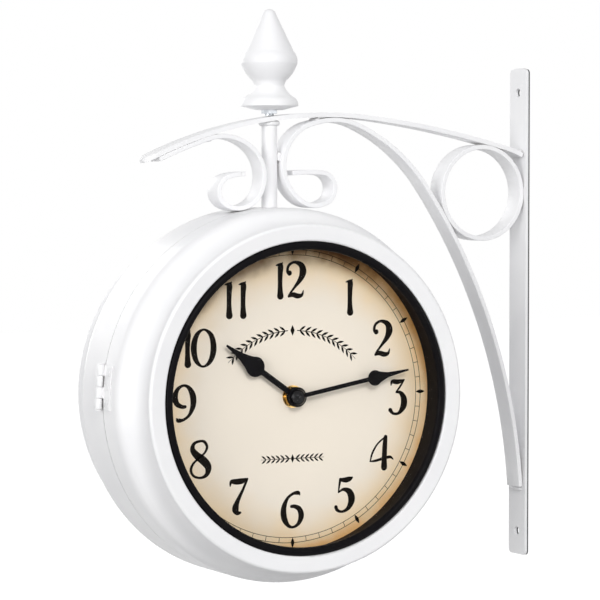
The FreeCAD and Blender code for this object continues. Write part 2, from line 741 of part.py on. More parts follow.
def catch_strike():
    """Angled steel tab inside the front half that the magnet holds."""
    height, reach, leg_gauge = as_size(20.0), as_size(11.0), as_size(2.0)
    wall = D.case_radius - D.sheet_gauge - 0.45
    low = -D.clock_drop - height / 2
    leg = box("strike_leg", (leg_gauge, D.strike_leg, height),
              (wall - leg_gauge - D.rod_reach, -(D.strike_out + D.strike_leg), low))
    face = box("strike_face", (reach, D.strike_gauge, height),
               (wall - reach - D.rod_reach, -(D.strike_out + D.strike_gauge), low))
    return node(fuse("catch_strike_fused", [leg, face]), "catch_strike")


# ---------------------------------------------------------------- pieces of one dial side

def liner(label, rotation):
    """Black ring between the rim and the dial, with a beaded lip in front of the lens."""
    body = new_body(label, CLOCK_CENTRE, rotation)
    outer, inner = D.liner_radius + D.liner_gauge, D.liner_radius
    back, front = D.dial_out + 0.1, D.lip_out
    bead = (D.rim_opening - 0.2 - D.lip_radius) / 2
    points = [(inner, back), (outer, back), (outer, front), (D.rim_opening - 0.2, front),
              (D.lip_radius + bead, front + bead), (D.lip_radius, front),
              (D.lip_radius, front - 1.2), (inner, front - 1.2)]
    revolve(body, points, {3: (bead, 1), 4: (bead, 1)})
    return node(body, label)


def lens(label, rotation):
    """Flat glass disc behind the liner's lip."""
    base = side_point(0, 0, D.lens_out - D.lens_gauge, rotation)
    return node(cylinder(label, D.lens_radius, D.lens_gauge, base, rotation), label)


def side_point(right, up, out, rotation):
    """A point of a dial side in the clock's own axes."""
    right, up, out = as_size(right), as_size(up), as_size(out)
    if rotation is FACING_FRONT:
        return (right - D.rod_reach, -out, up - D.clock_drop)
    return (-right - D.rod_reach, out, up - D.clock_drop)


def spring_ring(label, rotation):
    """Round wire ring that keeps the lens against the lip."""
    item = doc.addObject("Part::Torus", label + "_wire")
    bind(item, Radius1=D.liner_radius - 1.0, Radius2=0.9)
    place(item, side_point(0, 0, D.lens_out - D.lens_gauge - 0.95, rotation), rotation)
    return node(item, label)


def dial(label, rotation):
    """Dial disc with a centre hole and holes for its rivets."""
    body = new_body(label, CLOCK_CENTRE, rotation)
    sketch = new_sketch(body, "XY_Plane", label + "_outline", D.dial_out - D.dial_gauge)
    add_circle(sketch, D.dial_radius)
    add_circle(sketch, D.bushing_radius + 0.2)
    for right, up in diagonal_spots():
        add_circle(sketch, D.dial_rivet_radius + 0.1, right, up)
    pad(body, sketch, D.dial_gauge)
    return node(body, label)


def diagonal_spots():
    """The four places of the dial rivets, halfway between the quarter hours."""
    reach = D.dial_rivet_circle * math.sqrt(0.5)
    return [(reach, reach), (-reach, reach), (-reach, -reach), (reach, -reach)]


def dial_support(label, rotation):
    """Pressed ring that carries the dial from the case's wall."""
    body = new_body(label, CLOCK_CENTRE, rotation)
    wall, gauge = D.case_radius - D.sheet_gauge - 0.05, D.sheet_gauge
    front = D.dial_out - D.dial_gauge
    foot, bend, slope = D.support_foot, D.support_bend, as_size(7.0)
    points = [(wall - gauge, foot), (wall, foot), (wall, bend), (wall - slope, front),
              (D.support_opening, front), (D.support_opening, front - gauge),
              (wall - slope - gauge / 2, front - gauge), (wall - gauge, bend - gauge / 3)]
    revolve(body, points)
    holes = new_sketch(body, "XY_Plane", label + "_holes", front - gauge / 2)
    for right, up in diagonal_spots():
        add_circle(holes, D.dial_rivet_radius + 0.1, right, up)
    pocket_through(body, holes)
    return node(body, label)


def dial_rivets(label, rotation):
    """Four rivets that hold the dial to its support ring."""
    pieces = []
    back = D.dial_out - D.dial_gauge - D.sheet_gauge
    for number, (right, up) in enumerate(diagonal_spots(), start=1):
        stack = []
        head = D.dial_rivet_head
        for name, radius, start, height in (
                ("head", head, D.dial_out, head / 2),
                ("shank", D.dial_rivet_radius, back - 0.1, D.dial_out - back + 0.2),
                ("tail", head, back - 0.9, as_size(0.9))):
            stack.append(cylinder("%s_%s_%d" % (label, name, number), radius, height,
                                  side_point(right, up, start, rotation), rotation))
        pieces.append(fuse("%s_%d" % (label, number), stack))
    return node(group(label + "_group", pieces), label)


def movement_housing(label, rotation):
    """Square moulded case of the quartz movement, open at the back, with a battery bay."""
    body = new_body(label, CLOCK_CENTRE, rotation)
    front = D.dial_out - D.dial_gauge - D.washer_gauge
    half, corner = D.housing_width / 2, D.housing_corner
    sketch = new_sketch(body, "XY_Plane", label + "_outline", front - D.housing_depth)
    add_rounded_square(sketch, half, corner)
    pad(body, sketch, D.housing_depth)
    hollow = new_sketch(body, "XY_Plane", label + "_hollow", front - D.housing_depth)
    add_rounded_square(hollow, half - D.housing_wall, corner - D.housing_wall)
    feature = body.newObject("PartDesign::Pocket", label + "_cavity")
    feature.Profile = hollow
    feature.Reversed = True
    bind(feature, Length=D.housing_depth - D.housing_wall)
    body.Tip = feature
    doc.recompute()
    hole = new_sketch(body, "XY_Plane", label + "_hole", front)
    add_circle(hole, D.bushing_radius)
    pocket_through(body, hole)
    return node(body, label)


def add_rounded_square(sketch, half, corner):
    """Draw a square with rounded corners about the sketch's origin."""
    near = half - corner
    points = [(near, -half), (half, -near), (half, near), (near, half),
              (-near, half), (-half, near), (-half, -near), (-near, -half)]
    add_outline(sketch, points, {number: (corner, 1) for number in (0, 2, 4, 6)})


def movement_cover(label, rotation):
    """Back cover of the movement, with a hole for the setting knob's shaft."""
    body = new_body(label, CLOCK_CENTRE, rotation)
    back = D.dial_out - D.dial_gauge - D.washer_gauge - D.housing_depth - D.cover_gauge
    sketch = new_sketch(body, "XY_Plane", label + "_outline", back)
    add_rounded_square(sketch, D.housing_width / 2, D.housing_corner)
    add_circle(sketch, D.knob_shaft_radius + 0.1, KNOB_RIGHT, KNOB_UP)
    pad(body, sketch, D.cover_gauge - 0.05)
    return node(body, label)


def setting_knob(label, rotation):
    """Grooved knob at the movement's back that turns the hands."""
    back = D.dial_out - D.dial_gauge - D.washer_gauge - D.housing_depth - D.cover_gauge
    body = new_body(label, side_point(KNOB_RIGHT, KNOB_UP, back - D.knob_depth - 0.4, rotation),
                    rotation)
    sketch = new_sketch(body, "XY_Plane", label + "_disc")
    add_circle(sketch, D.knob_radius)
    pad(body, sketch, D.knob_depth)
    groove = new_sketch(body, "XY_Plane", label + "_groove")
    add_circle(groove, 0.7, D.knob_radius + 0.1, 0)
    feature = body.newObject("PartDesign::Pocket", label + "_flute")
    feature.Profile = groove
    feature.Type = "ThroughAll"
    feature.SideType = "Symmetric"
    pattern = body.newObject("PartDesign::PolarPattern", label + "_flutes")
    pattern.Originals = [feature]
    pattern.Axis = (groove, ["N_Axis"])
    pattern.Angle = 360
    pattern.Occurrences = 18
    body.Tip = pattern
    doc.recompute()
    shaft = new_sketch(body, "XY_Plane", label + "_shaft", D.knob_depth - 0.2)
    add_circle(shaft, D.knob_shaft_radius)
    pad(body, shaft, 6.0)
    return node(body, label)


def battery(label, rotation):
    """Dry cell in the movement, with its raised end."""
    out = D.dial_out - D.dial_gauge - D.washer_gauge - D.housing_depth + BATTERY_DEPTH
    along = rotation * Rotation(Y_DIRECTION, 90)
    length = D.battery_length
    cell = cylinder(label + "_cell", D.battery_radius, length - 1.4,
                    side_point(-(length / 2), BATTERY_UP, out, rotation), along)
    tip = cylinder(label + "_tip", 2.5, 1.6,
                   side_point(length / 2 - 1.5, BATTERY_UP, out, rotation), along)
    return node(fuse(label + "_fused", [cell, tip]), label)


def battery_contacts(label, rotation):
    """Sprung metal strip at each end of the cell."""
    out = D.dial_out - D.dial_gauge - D.washer_gauge - D.housing_depth + BATTERY_DEPTH - 4.0
    pieces = []
    for number, right in enumerate(CONTACT_SPOTS, start=1):
        item = box("%s_%d" % (label, number), (0.4, 9.0, 8.0))
        corner = side_point(right, BATTERY_UP - 4.5, out, rotation)
        place(item, corner, rotation)
        pieces.append(item)
    return node(group(label + "_group", pieces), label)


def bushing(label, rotation):
    """Threaded brass bushing that carries the movement through the dial."""
    low = D.dial_out - D.dial_gauge - D.washer_gauge - D.housing_wall
    high = D.hour_hand_out - 0.7
    return node(tube(label, D.bushing_radius - 0.02, D.bushing_bore, high - low,
                     side_point(0, 0, low, rotation), rotation), label)


def rubber_washer(label, rotation):
    """Soft washer between the movement and the dial."""
    low = D.dial_out - D.dial_gauge - D.washer_gauge
    return node(tube(label, 11.0, D.bushing_radius, D.washer_gauge,
                     side_point(0, 0, low, rotation), rotation), label)


def brass_washer(label, rotation):
    """Washer on the dial's face."""
    return node(tube(label, 7.3, D.bushing_radius, D.washer_gauge,
                     side_point(0, 0, D.dial_out, rotation), rotation), label)


def hexagon_nut(label, rotation):
    """Thin nut that clamps the dial between the washers."""
    base = side_point(0, 0, D.dial_out + D.washer_gauge, rotation)
    blank = prism(label + "_blank", D.nut_reach, D.nut_gauge, base, rotation)
    hole = cylinder(label + "_hole", D.bushing_radius, D.nut_gauge, base, rotation)
    return node(cut(label + "_cut", blank, hole), label)


def hand_turn(angle):
    """Rotation that points a hand drawn at twelve to an angle, clockwise."""
    return Rotation(Z_DIRECTION, -angle)


def hour_shaft(label, rotation):
    """Hour pipe with its wheel's disc inside the movement."""
    low = D.dial_out - D.dial_gauge - D.washer_gauge - HOUR_WHEEL_DEPTH
    pipe = cylinder(label + "_pipe", D.hour_pipe_radius, D.hour_hand_out + 1.1 - low,
                    side_point(0, 0, low, rotation), rotation)
    disc = cylinder(label + "_disc", D.hour_wheel_radius, WHEEL_GAUGE,
                    side_point(0, 0, low, rotation), rotation)
    hole = cylinder(label + "_hole", D.hour_pipe_bore, 20.0,
                    side_point(0, 0, low - 1.0, rotation), rotation)
    return node(cut(label + "_cut", fuse(label + "_fused", [pipe, disc]), hole), label)


def minute_shaft(label, rotation):
    """Minute shaft through the hour pipe, with its wheel's disc behind it."""
    low = D.dial_out - D.dial_gauge - D.washer_gauge - MINUTE_WHEEL_DEPTH
    shaft = cylinder(label + "_shaft", D.minute_shaft_radius, D.minute_hand_out + 3.0 - low,
                     side_point(0, 0, low, rotation), rotation)
    disc = cylinder(label + "_disc", D.minute_wheel_radius, WHEEL_GAUGE,
                    side_point(0, 0, low, rotation), rotation)
    return node(fuse(label + "_fused", [shaft, disc]), label)


def hand(label, rotation, angle, out, hole, plan):
    """A flat spade hand on a round hub; plan holds its lengths and half widths in order."""
    reach, spade, half, tip_half, shank_half = plan
    body = new_body(label, CLOCK_CENTRE, rotation * hand_turn(angle))
    sketch = new_sketch(body, "XY_Plane", label + "_outline", out)
    hub, brow_turn = D.hand_hub_radius.value, math.radians(SPADE_BROW)
    root = Vector(shank_half, math.sqrt(hub * hub - shank_half * shank_half), 0)
    neck = Vector(shank_half, spade - math.sqrt(half * half - shank_half * shank_half), 0)
    brow = Vector(half * math.cos(brow_turn), spade + half * math.sin(brow_turn), 0)
    flank, shoulder = [Vector(half * right, spade + half * up, 0)
                       for right, up in (SPADE_FLANK, SPADE_SHOULDER)]
    point = Vector(tip_half, reach, 0)
    sweep = Part.BSplineCurve()
    sweep.interpolate(Points=[brow, flank, shoulder], FinalTangent=point - shoulder,
                      InitialTangent=Vector(-math.sin(brow_turn), math.cos(brow_turn), 0))
    # The right edge, from below the hub to the point.
    edge = [Part.Arc(Vector(0, -hub, 0), Vector(hub, 0, 0), root), Part.LineSegment(root, neck),
            Part.Arc(neck, Vector(half, spade, 0), brow), sweep, Part.LineSegment(shoulder, point)]
    for curve in edge:
        sketch.addGeometry(curve, False)
        copy = curve.copy()
        copy.mirror(Vector(0, 0, 0), Y_DIRECTION)
        sketch.addGeometry(copy, False)
    sketch.addGeometry(Part.LineSegment(point, Vector(-tip_half, reach, 0)), False)
    add_circle(sketch, hole)
    pad(body, sketch, D.hand_gauge)
    return node(body, label)


def cap_nut(label, rotation):
    """Domed nut that holds the minute hand."""
    body = new_body(label, CLOCK_CENTRE, rotation)
    low = D.minute_hand_out + D.hand_gauge + 0.05
    dome = (D.cap_radius * D.cap_radius + D.cap_dome * D.cap_dome) / (D.cap_dome * 2)
    hole = low + D.cap_dome - 0.2
    points = [(0, hole), (D.minute_shaft_radius, hole), (D.minute_shaft_radius, low),
              (D.cap_radius, low), (D.cap_radius, low + D.cap_band),
              (0, low + D.cap_band + D.cap_dome)]
    revolve(body, points, {4: (dome, 1)})
    return node(body, label)


def dial_side(prefix, rotation):
    """All the pieces that one dial has."""
    liner(prefix + "_liner", rotation)
    lens(prefix + "_lens", rotation)
    spring_ring(prefix + "_lens_spring_ring", rotation)
    dial(prefix + "_dial", rotation)
    dial_support(prefix + "_dial_support", rotation)
    dial_rivets(prefix + "_dial_rivets", rotation)
    movement_housing(prefix + "_movement_housing", rotation)
    movement_cover(prefix + "_movement_cover", rotation)
    battery(prefix + "_battery", rotation)
    battery_contacts(prefix + "_battery_contacts", rotation)
    setting_knob(prefix + "_setting_knob", rotation)
    bushing(prefix + "_bushing", rotation)
    rubber_washer(prefix + "_rubber_washer", rotation)
    brass_washer(prefix + "_brass_washer", rotation)
    hexagon_nut(prefix + "_hexagon_nut", rotation)
    hour_shaft(prefix + "_hour_shaft", rotation)
    minute_shaft(prefix + "_minute_shaft", rotation)
    hand(prefix + "_hour_hand", rotation, HOUR_HAND_ANGLE, D.hour_hand_out,
         D.hour_pipe_radius, HOUR_PLAN)
    hand(prefix + "_minute_hand", rotation, MINUTE_HAND_ANGLE, D.minute_hand_out,
         D.minute_shaft_radius, MINUTE_PLAN)
    cap_nut(prefix + "_cap_nut", rotation)


# ---------------------------------------------------------------- the whole clock

wall_plate()
round_tip(bent_strap("arm_strap", ARM_START, ARM_HEADING, ARM_ARCS), as_size(ARM_TIP))
bent_strap("brace_strap", BRACE_START, BRACE_HEADING, BRACE_ARCS)
bent_strap("left_scroll", SCROLL_START, SCROLL_HEADING, SCROLL_ARCS)
bracket_ring()
hanger_rod()
rod_fixings()
finial()
finial_stud()
weld_beads()
rear_case()
front_case()
case_gasket()
hinge_leaf("hinge_rear_leaf", -1, (0, 2))
hinge_leaf("hinge_front_leaf", 1, (1, 3))
hinge_rivets("hinge_rear_rivets", -1)
hinge_rivets("hinge_front_rivets", 1)
hinge_pin()
catch_magnet()
catch_strike()
dial_side("front", FACING_FRONT)
dial_side("rear", FACING_REAR)

doc.recompute()
for item in doc.Objects:
    bad = [word for word in item.State if word in ("Invalid", "Error")]
    assert not bad, "%s is %s" % (item.Label, bad)

os.makedirs("parts", exist_ok=True)
for item in nodes:
    shape = item.Shape
    assert not shape.isNull() and shape.isValid() and shape.Solids, item.Label
    shape.exportStep("parts/%s.step" % item.Label)
print(len(nodes), "nodes written")
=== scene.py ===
"""Dresses the double sided station clock: finishes, dial printing, welds, light and camera."""

import json
import logging
import math
from dataclasses import dataclass, field
from enum import Enum
from typing import Callable, Iterable

import bmesh
import bpy
from mathutils import Matrix, Vector, noise


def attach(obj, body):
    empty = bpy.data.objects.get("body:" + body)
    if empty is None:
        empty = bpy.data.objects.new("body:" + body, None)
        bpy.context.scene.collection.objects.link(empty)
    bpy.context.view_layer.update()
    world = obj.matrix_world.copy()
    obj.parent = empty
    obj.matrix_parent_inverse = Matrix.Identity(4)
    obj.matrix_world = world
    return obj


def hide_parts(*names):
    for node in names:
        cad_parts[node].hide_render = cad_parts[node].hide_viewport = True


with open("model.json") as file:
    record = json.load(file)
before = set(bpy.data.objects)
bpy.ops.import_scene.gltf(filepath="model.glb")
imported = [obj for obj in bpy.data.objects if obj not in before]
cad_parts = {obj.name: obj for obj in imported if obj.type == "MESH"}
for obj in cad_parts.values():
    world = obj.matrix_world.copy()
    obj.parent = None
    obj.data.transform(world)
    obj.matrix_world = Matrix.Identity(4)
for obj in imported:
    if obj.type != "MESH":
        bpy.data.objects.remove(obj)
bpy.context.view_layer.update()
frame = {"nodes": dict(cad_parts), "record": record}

log = logging.getLogger("station_clock")

MM = 0.001
# Where the rod's axis passes the dials' centres.
CLOCK_CENTRE = Vector((-195.0, 0.0, -49.0)) * MM

Colour = tuple[float, float, float, float]
Point = tuple[float, float]
Station = tuple[float, float, float]
Range = tuple[float, float]
# The part of its range that most of a noise's values lie in.
NOISE_LOW, NOISE_HIGH = 0.3, 0.7
# A screen colour's value below which its curve is straight, that straight part's slope, and the
# offset and power of the rest.
SCREEN_KNEE, SCREEN_SLOPE, SCREEN_OFFSET, SCREEN_POWER = 0.04045, 12.92, 0.055, 2.4


def paint(code: str) -> Colour:
    """Turn a colour as it is seen on a screen into the linear values that shaders take.

    Args:
        code: Six hexadecimal digits, two each for red, green and blue.

    Returns:
        Linear red, green and blue, and full opacity.
    """
    parts = [int(code[start:start + 2], 16) / 255 for start in (0, 2, 4)]
    linear = [p / SCREEN_SLOPE if p <= SCREEN_KNEE
              else ((p + SCREEN_OFFSET) / (1 + SCREEN_OFFSET)) ** SCREEN_POWER for p in parts]
    return (linear[0], linear[1], linear[2], 1.0)


class Side(Enum):
    """The two dials, each with the CAD body that its fixed pieces ride on."""

    FRONT = "front"
    REAR = "rear"

    @property
    def body(self) -> str:
        """The body that carries this side's dial."""
        return "front_door" if self is Side.FRONT else "bracket_and_rear_case"

    @property
    def axes(self) -> Matrix:
        """Dial axes (right, up, out, in millimetres) to the row frame in metres."""
        turn = 1.0 if self is Side.FRONT else -1.0
        rows = ((turn, 0, 0, 0), (0, 0, -turn, 0), (0, 1, 0, 0), (0, 0, 0, 1))
        scale = Matrix.Diagonal((MM, MM, MM, 1.0))
        return Matrix.Translation(CLOCK_CENTRE) @ Matrix(rows) @ scale


class Slot(Enum):
    """The record's material slots."""

    WHITE_PAINT = "white_paint"
    BLACK_PAINT = "black_paint"
    DIAL_PRINT = "dial_print"
    LENS_GLASS = "lens_glass"
    ZINC_STEEL = "zinc_steel"
    BRASS = "brass"
    BLACK_PLASTIC = "black_plastic"
    BLACK_RUBBER = "black_rubber"
    BATTERY_WRAP = "battery_wrap"


# ------------------------------------------------------------------ finishes


class ShaderGraph:
    """A material's nodes, with short calls to add and join them."""

    def __init__(self, name: str) -> None:
        """Start an empty material.

        Args:
            name: The material's name.
        """
        self.material = bpy.data.materials.new(name)
        self.material.use_nodes = True
        self.tree = self.material.node_tree
        self.tree.nodes.clear()

    def add(self, kind: str, sockets: dict | None = None, **settings: object) -> bpy.types.Node:
        """Add a node.

        Args:
            kind: The node's type without its ShaderNode prefix.
            sockets: Input names or numbers, with a value or another node's output for each.
            settings: Properties of the node itself.

        Returns:
            The new node.
        """
        item = self.tree.nodes.new("ShaderNode" + kind)
        for name, value in settings.items():
            setattr(item, name, value)
        for name, value in (sockets or {}).items():
            if isinstance(value, bpy.types.NodeSocket):
                self.tree.links.new(value, item.inputs[name])
            else:
                item.inputs[name].default_value = value
        return item

    def place(self) -> bpy.types.NodeSocket:
        """The point of the surface in the row frame, in metres."""
        return self.add("TexCoord").outputs["Object"]

    def grain(self, size: float, detail: float = 2.0,
              stretch: tuple | None = None) -> bpy.types.NodeSocket:
        """Noise whose spots are about a given size.

        Args:
            size: Size of a spot in millimetres.
            detail: How much finer noise is laid over it.
            stretch: How many times smaller it is along X, Y and Z, where it isn't even.

        Returns:
            The noise's value, from 0 to 1.
        """
        where = self.place()
        if stretch:
            where = self.add("VectorMath", {0: where, 1: stretch}, operation="MULTIPLY").outputs[0]
        sockets = {"Vector": where, "Scale": 1.0 / (size * MM), "Detail": detail}
        return self.add("TexNoise", sockets).outputs["Fac"]

    def spread(self, value: bpy.types.NodeSocket, low: float,
               high: float) -> bpy.types.NodeSocket:
        """Map the middle of a noise's range to low and high."""
        sockets = {"Value": value, "From Min": NOISE_LOW, "From Max": NOISE_HIGH,
                   "To Min": low, "To Max": high}
        return self.add("MapRange", sockets).outputs["Result"]

    def blend(self, share: object, first: object, second: object) -> bpy.types.NodeSocket:
        """Mix two colours by a share from 0 to 1."""
        item = self.add("Mix", data_type="RGBA")
        for number, value in ((0, share), (6, first), (7, second)):
            if isinstance(value, bpy.types.NodeSocket):
                self.tree.links.new(value, item.inputs[number])
            else:
                item.inputs[number].default_value = value
        return item.outputs[2]

    def bump(self, height: bpy.types.NodeSocket, depth: float,
             below: object = None) -> bpy.types.NodeSocket:
        """Bump from a height.

        Args:
            height: The height, from 0 to 1.
            depth: What a height of 1 stands for, in millimetres.
            below: The normal of a bump that this one lies on.

        Returns:
            The bent normal.
        """
        sockets = {"Height": height, "Distance": depth * MM}
        if below is not None:
            sockets["Normal"] = below
        return self.add("Bump", sockets).outputs["Normal"]

    def finish(self, sockets: dict) -> bpy.types.Material:
        """End the material in a principled shader.

        Args:
            sockets: Values and joins of the shader's inputs.

        Returns:
            The finished material.
        """
        shader = self.add("BsdfPrincipled", sockets)
        self.add("OutputMaterial", {"Surface": shader.outputs[0]})
        return self.material


@dataclass(frozen=True)
class PowderCoat:
    """Baked white paint on iron: faint orange peel, with painted shade in its corners and creases."""

    name: str = "white_powder_coat"
    colour: Colour = paint("F4F4F5")
    shade: Colour = paint("EEEEF0")
    # Colour of the painted shade in corners and creases.
    corner_shade: Colour = paint("C9C7C4")
    cloud_size: float = 45.0
    corner_shade_reach: float = 3.0
    # How open a corner is where the painted shade is full and where it ends, and how much it covers.
    corner_shade_open: Range = (0.15, 0.75)
    corner_shade_share: float = 0.55
    speck_size: float = 4.0
    speck_share: Range = (0.5, 1.0)
    # Size and depth of the orange peel and of the dust in the paint.
    peel: Range = (1.6, 0.012)
    dust: Range = (0.35, 0.002)
    gloss_size: float = 14.0
    gloss: Range = (0.42, 0.52)
    # Share and roughness of the clear layer on top.
    coat: Range = (0.1, 0.14)
    # How much of the plate next to the wall is painted dark as its shadow on the wall, and how softly
    # that ends, in millimetres.
    wall_shadow_band: float = 0.0
    wall_shadow_blur: float = 0.15
    wall_shadow: Colour = paint("4A4B4D")

    def material(self) -> bpy.types.Material:
        """Build the paint."""
        graph = ShaderGraph(self.name)
        cloud = graph.spread(graph.grain(self.cloud_size, 3.0), 0.0, 1.0)
        coat = graph.blend(cloud, self.colour, self.shade)
        # Painted shade: darker where ambient occlusion finds corners and creases, broken up by specks.
        corners = graph.add("AmbientOcclusion", {"Distance": self.corner_shade_reach * MM}, samples=8)
        shut, wide = self.corner_shade_open
        crease = graph.add("MapRange", {"Value": corners.outputs["AO"], "From Min": shut,
                                        "From Max": wide, "To Min": self.corner_shade_share, "To Max": 0.0})
        specks = graph.spread(graph.grain(self.speck_size), *self.speck_share)
        speck = graph.add("Math", {0: crease.outputs["Result"], 1: specks}, operation="MULTIPLY")
        coat = graph.blend(speck.outputs[0], coat, self.corner_shade)
        # Painted shadow: the plate's edge and back within this depth of the wall are darkened.
        if self.wall_shadow_band:
            depth = graph.add("SeparateXYZ", {0: graph.place()}).outputs["X"]
            start, end = self.wall_shadow_band + self.wall_shadow_blur, self.wall_shadow_band - self.wall_shadow_blur
            line = graph.add("MapRange", {"Value": depth, "From Min": -start * MM, "From Max": -end * MM})
            coat = graph.blend(line.outputs["Result"], coat, self.wall_shadow)
        size, depth = self.peel
        peel = graph.bump(graph.grain(size, 1.0), depth)
        size, depth = self.dust
        dust = graph.bump(graph.grain(size), depth, peel)
        gloss = graph.spread(graph.grain(self.gloss_size, 3.0), *self.gloss)
        return graph.finish({"Base Color": coat, "Roughness": gloss, "Normal": dust,
                             "Coat Weight": self.coat[0], "Coat Roughness": self.coat[1]})


@dataclass(frozen=True)
class BlackLacquer:
    """Glossy black paint on thin sheet."""

    name: str = "black_lacquer"
    colour: Colour = paint("0D0C10")
    worn: Colour = paint("191716")
    cloud_size: float = 6.0
    worn_share: float = 0.5
    # Size and depth of the orange peel.
    peel: Range = (1.2, 0.008)
    shine: float = 0.04
    gloss_size: float = 5.0
    gloss: Range = (0.30, 0.42)

    def material(self) -> bpy.types.Material:
        """Build the lacquer."""
        graph = ShaderGraph(self.name)
        cloud = graph.spread(graph.grain(self.cloud_size, 4.0), 0.0, self.worn_share)
        coat = graph.blend(cloud, self.colour, self.worn)
        size, depth = self.peel
        peel = graph.bump(graph.grain(size, 1.0), depth)
        gloss = graph.spread(graph.grain(self.gloss_size, 3.0), *self.gloss)
        return graph.finish({"Base Color": coat, "Roughness": gloss, "Normal": peel,
                             "Specular IOR Level": self.shine})


@dataclass(frozen=True)
class PrintingInk:
    """Black screen printing ink, a little brown where it is thin."""

    name: str = "dial_ink"
    colour: Colour = paint("0F0C0A")
    thin: Colour = paint("211A14")
    cloud_size: float = 1.4
    thin_share: float = 0.6
    gloss_size: float = 0.8
    gloss: Range = (0.6, 0.75)
    shine: float = 0.06

    def material(self) -> bpy.types.Material:
        """Build the ink."""
        graph = ShaderGraph(self.name)
        cloud = graph.spread(graph.grain(self.cloud_size, 4.0), 0.0, self.thin_share)
        ink = graph.blend(cloud, self.colour, self.thin)
        gloss = graph.spread(graph.grain(self.gloss_size), *self.gloss)
        return graph.finish({"Base Color": ink, "Roughness": gloss, "Specular IOR Level": self.shine})


@dataclass(frozen=True)
class DialPaper:
    """Cream dial that is toned darker towards its edge, like old paper, with a painted shadow of the rim
    along its upper left edge and a plain back.
    """

    name: str = "toned_dial"
    middle: Colour = paint("FCF3E4")
    tone: Colour = paint("FFE2B4")
    edge: Colour = paint("F4B567")
    # Colour of the painted shadow that the rim casts on the dial's upper left edge.
    rim_shadow: Colour = paint("5A3413")
    back: Colour = paint("D2CEC4")
    # The radii at which each tone starts and is full, and where their middle lies.
    tone_reach: Range = (64.0, 102.0)
    edge_reach: Range = (90.0, 106.0)
    tone_shift: Point = (1.0, -3.0)
    # Where the painted shadow of the rim starts and is full, and the point that its radius is measured
    # from.
    rim_shadow_reach: Range = (101.0, 115.0)
    rim_shadow_shift: Point = (11.0, -17.0)
    # Size of the clouds in the tones' edges, and how far they reach.
    cloud_size: float = 22.0
    cloud_reach: float = 4.0
    fibre_size: float = 0.5
    fibre_share: float = 0.05
    # Size and depth of the paper's tooth.
    tooth: Range = (0.4, 0.003)
    roughness: float = 0.55
    shine: float = 0.3

    def material(self) -> bpy.types.Material:
        """Build the printed dial."""
        graph = ShaderGraph(self.name)
        toned = self._radius(graph, self.tone_shift)
        coat = graph.blend(self._reach(graph, toned, self.tone_reach), self.middle, self.tone)
        coat = graph.blend(self._reach(graph, toned, self.edge_reach), coat, self.edge)
        # Painted shadow of the rim, dark brown towards the dial's upper left edge.
        rim_shadow_radius = self._radius(graph, self.rim_shadow_shift)
        coat = graph.blend(self._reach(graph, rim_shadow_radius, self.rim_shadow_reach), coat, self.rim_shadow)
        fibre = graph.spread(graph.grain(self.fibre_size, 4.0), 0.0, self.fibre_share)
        coat = graph.blend(fibre, coat, self.edge)
        coat = graph.blend(self._printed(graph), graph.blend(fibre, self.back, self.tone), coat)
        size, depth = self.tooth
        return graph.finish({"Base Color": coat, "Roughness": self.roughness,
                             "Normal": graph.bump(graph.grain(size), depth),
                             "Specular IOR Level": self.shine})

    def _radius(self, graph: ShaderGraph, shift: Point) -> bpy.types.NodeSocket:
        """How far the surface is from a point beside the dial's centre, a little clouded.

        Args:
            graph: The material's nodes.
            shift: The point's place right of and above the dial's centre, in millimetres, as
                someone in front of that dial sees it.

        Returns:
            The distance in metres.
        """
        middle = CLOCK_CENTRE + Vector((0, 0, shift[1])) * MM
        apart = graph.add("VectorMath", {0: graph.place(), 1: middle}, operation="SUBTRACT")
        parts = graph.add("SeparateXYZ", {0: apart.outputs[0]}).outputs
        turned = graph.add("Math", {0: parts["Y"]}, operation="SIGN").outputs[0]
        right = graph.add("Math", {0: turned, 1: -1.0}, operation="MULTIPLY").outputs[0]
        right = graph.add("Math", {0: parts["X"], 1: right}, operation="MULTIPLY").outputs[0]
        right = graph.add("Math", {0: right, 1: shift[0] * MM}, operation="SUBTRACT").outputs[0]
        flat = graph.add("CombineXYZ", {"X": right, "Z": parts["Z"]})
        radius = graph.add("VectorMath", {0: flat.outputs[0]}, operation="LENGTH").outputs["Value"]
        reach = self.cloud_reach * MM
        cloud = graph.spread(graph.grain(self.cloud_size, 3.0), -reach, reach)
        return graph.add("Math", {0: radius, 1: cloud}, operation="ADD").outputs[0]

    @staticmethod
    def _printed(graph: ShaderGraph) -> bpy.types.NodeSocket:
        """1 on the side that faces away from the rod, 0 on the side towards it."""
        depth = graph.add("SeparateXYZ", {0: graph.place()}).outputs["Y"]
        facing = graph.add("SeparateXYZ", {0: graph.add("TexCoord").outputs["Normal"]}).outputs["Y"]
        outward = graph.add("Math", {0: depth, 1: facing}, operation="MULTIPLY").outputs[0]
        return graph.add("Math", {0: outward, 1: 0.0}, operation="GREATER_THAN").outputs[0]

    @staticmethod
    def _reach(graph: ShaderGraph, radius: bpy.types.NodeSocket, span: Range) -> bpy.types.NodeSocket:
        """How far a radius has come along a span in millimetres, eased at both ends."""
        sockets = {"Value": radius, "From Min": span[0] * MM, "From Max": span[1] * MM}
        return graph.add("MapRange", sockets, interpolation_type="SMOOTHSTEP").outputs["Result"]


@dataclass(frozen=True)
class ClearGlass:
    """Thin clean window glass: light goes straight through it, apart from a trace of dust."""

    name: str = "window_glass"
    colour: Colour = paint("3C4442")
    dust_size: float = 30.0
    # How much of the light the glass and its dust hold back.
    dust: Range = (0.003, 0.012)
    smear_size: float = 12.0
    gloss: Range = (0.03, 0.08)
    index: float = 1.45

    def material(self) -> bpy.types.Material:
        """Build the glass."""
        graph = ShaderGraph(self.name)
        dust = graph.spread(graph.grain(self.dust_size, 5.0), *self.dust)
        gloss = graph.spread(graph.grain(self.smear_size, 3.0), *self.gloss)
        return graph.finish({"Base Color": self.colour, "Roughness": gloss, "IOR": self.index,
                             "Alpha": dust})


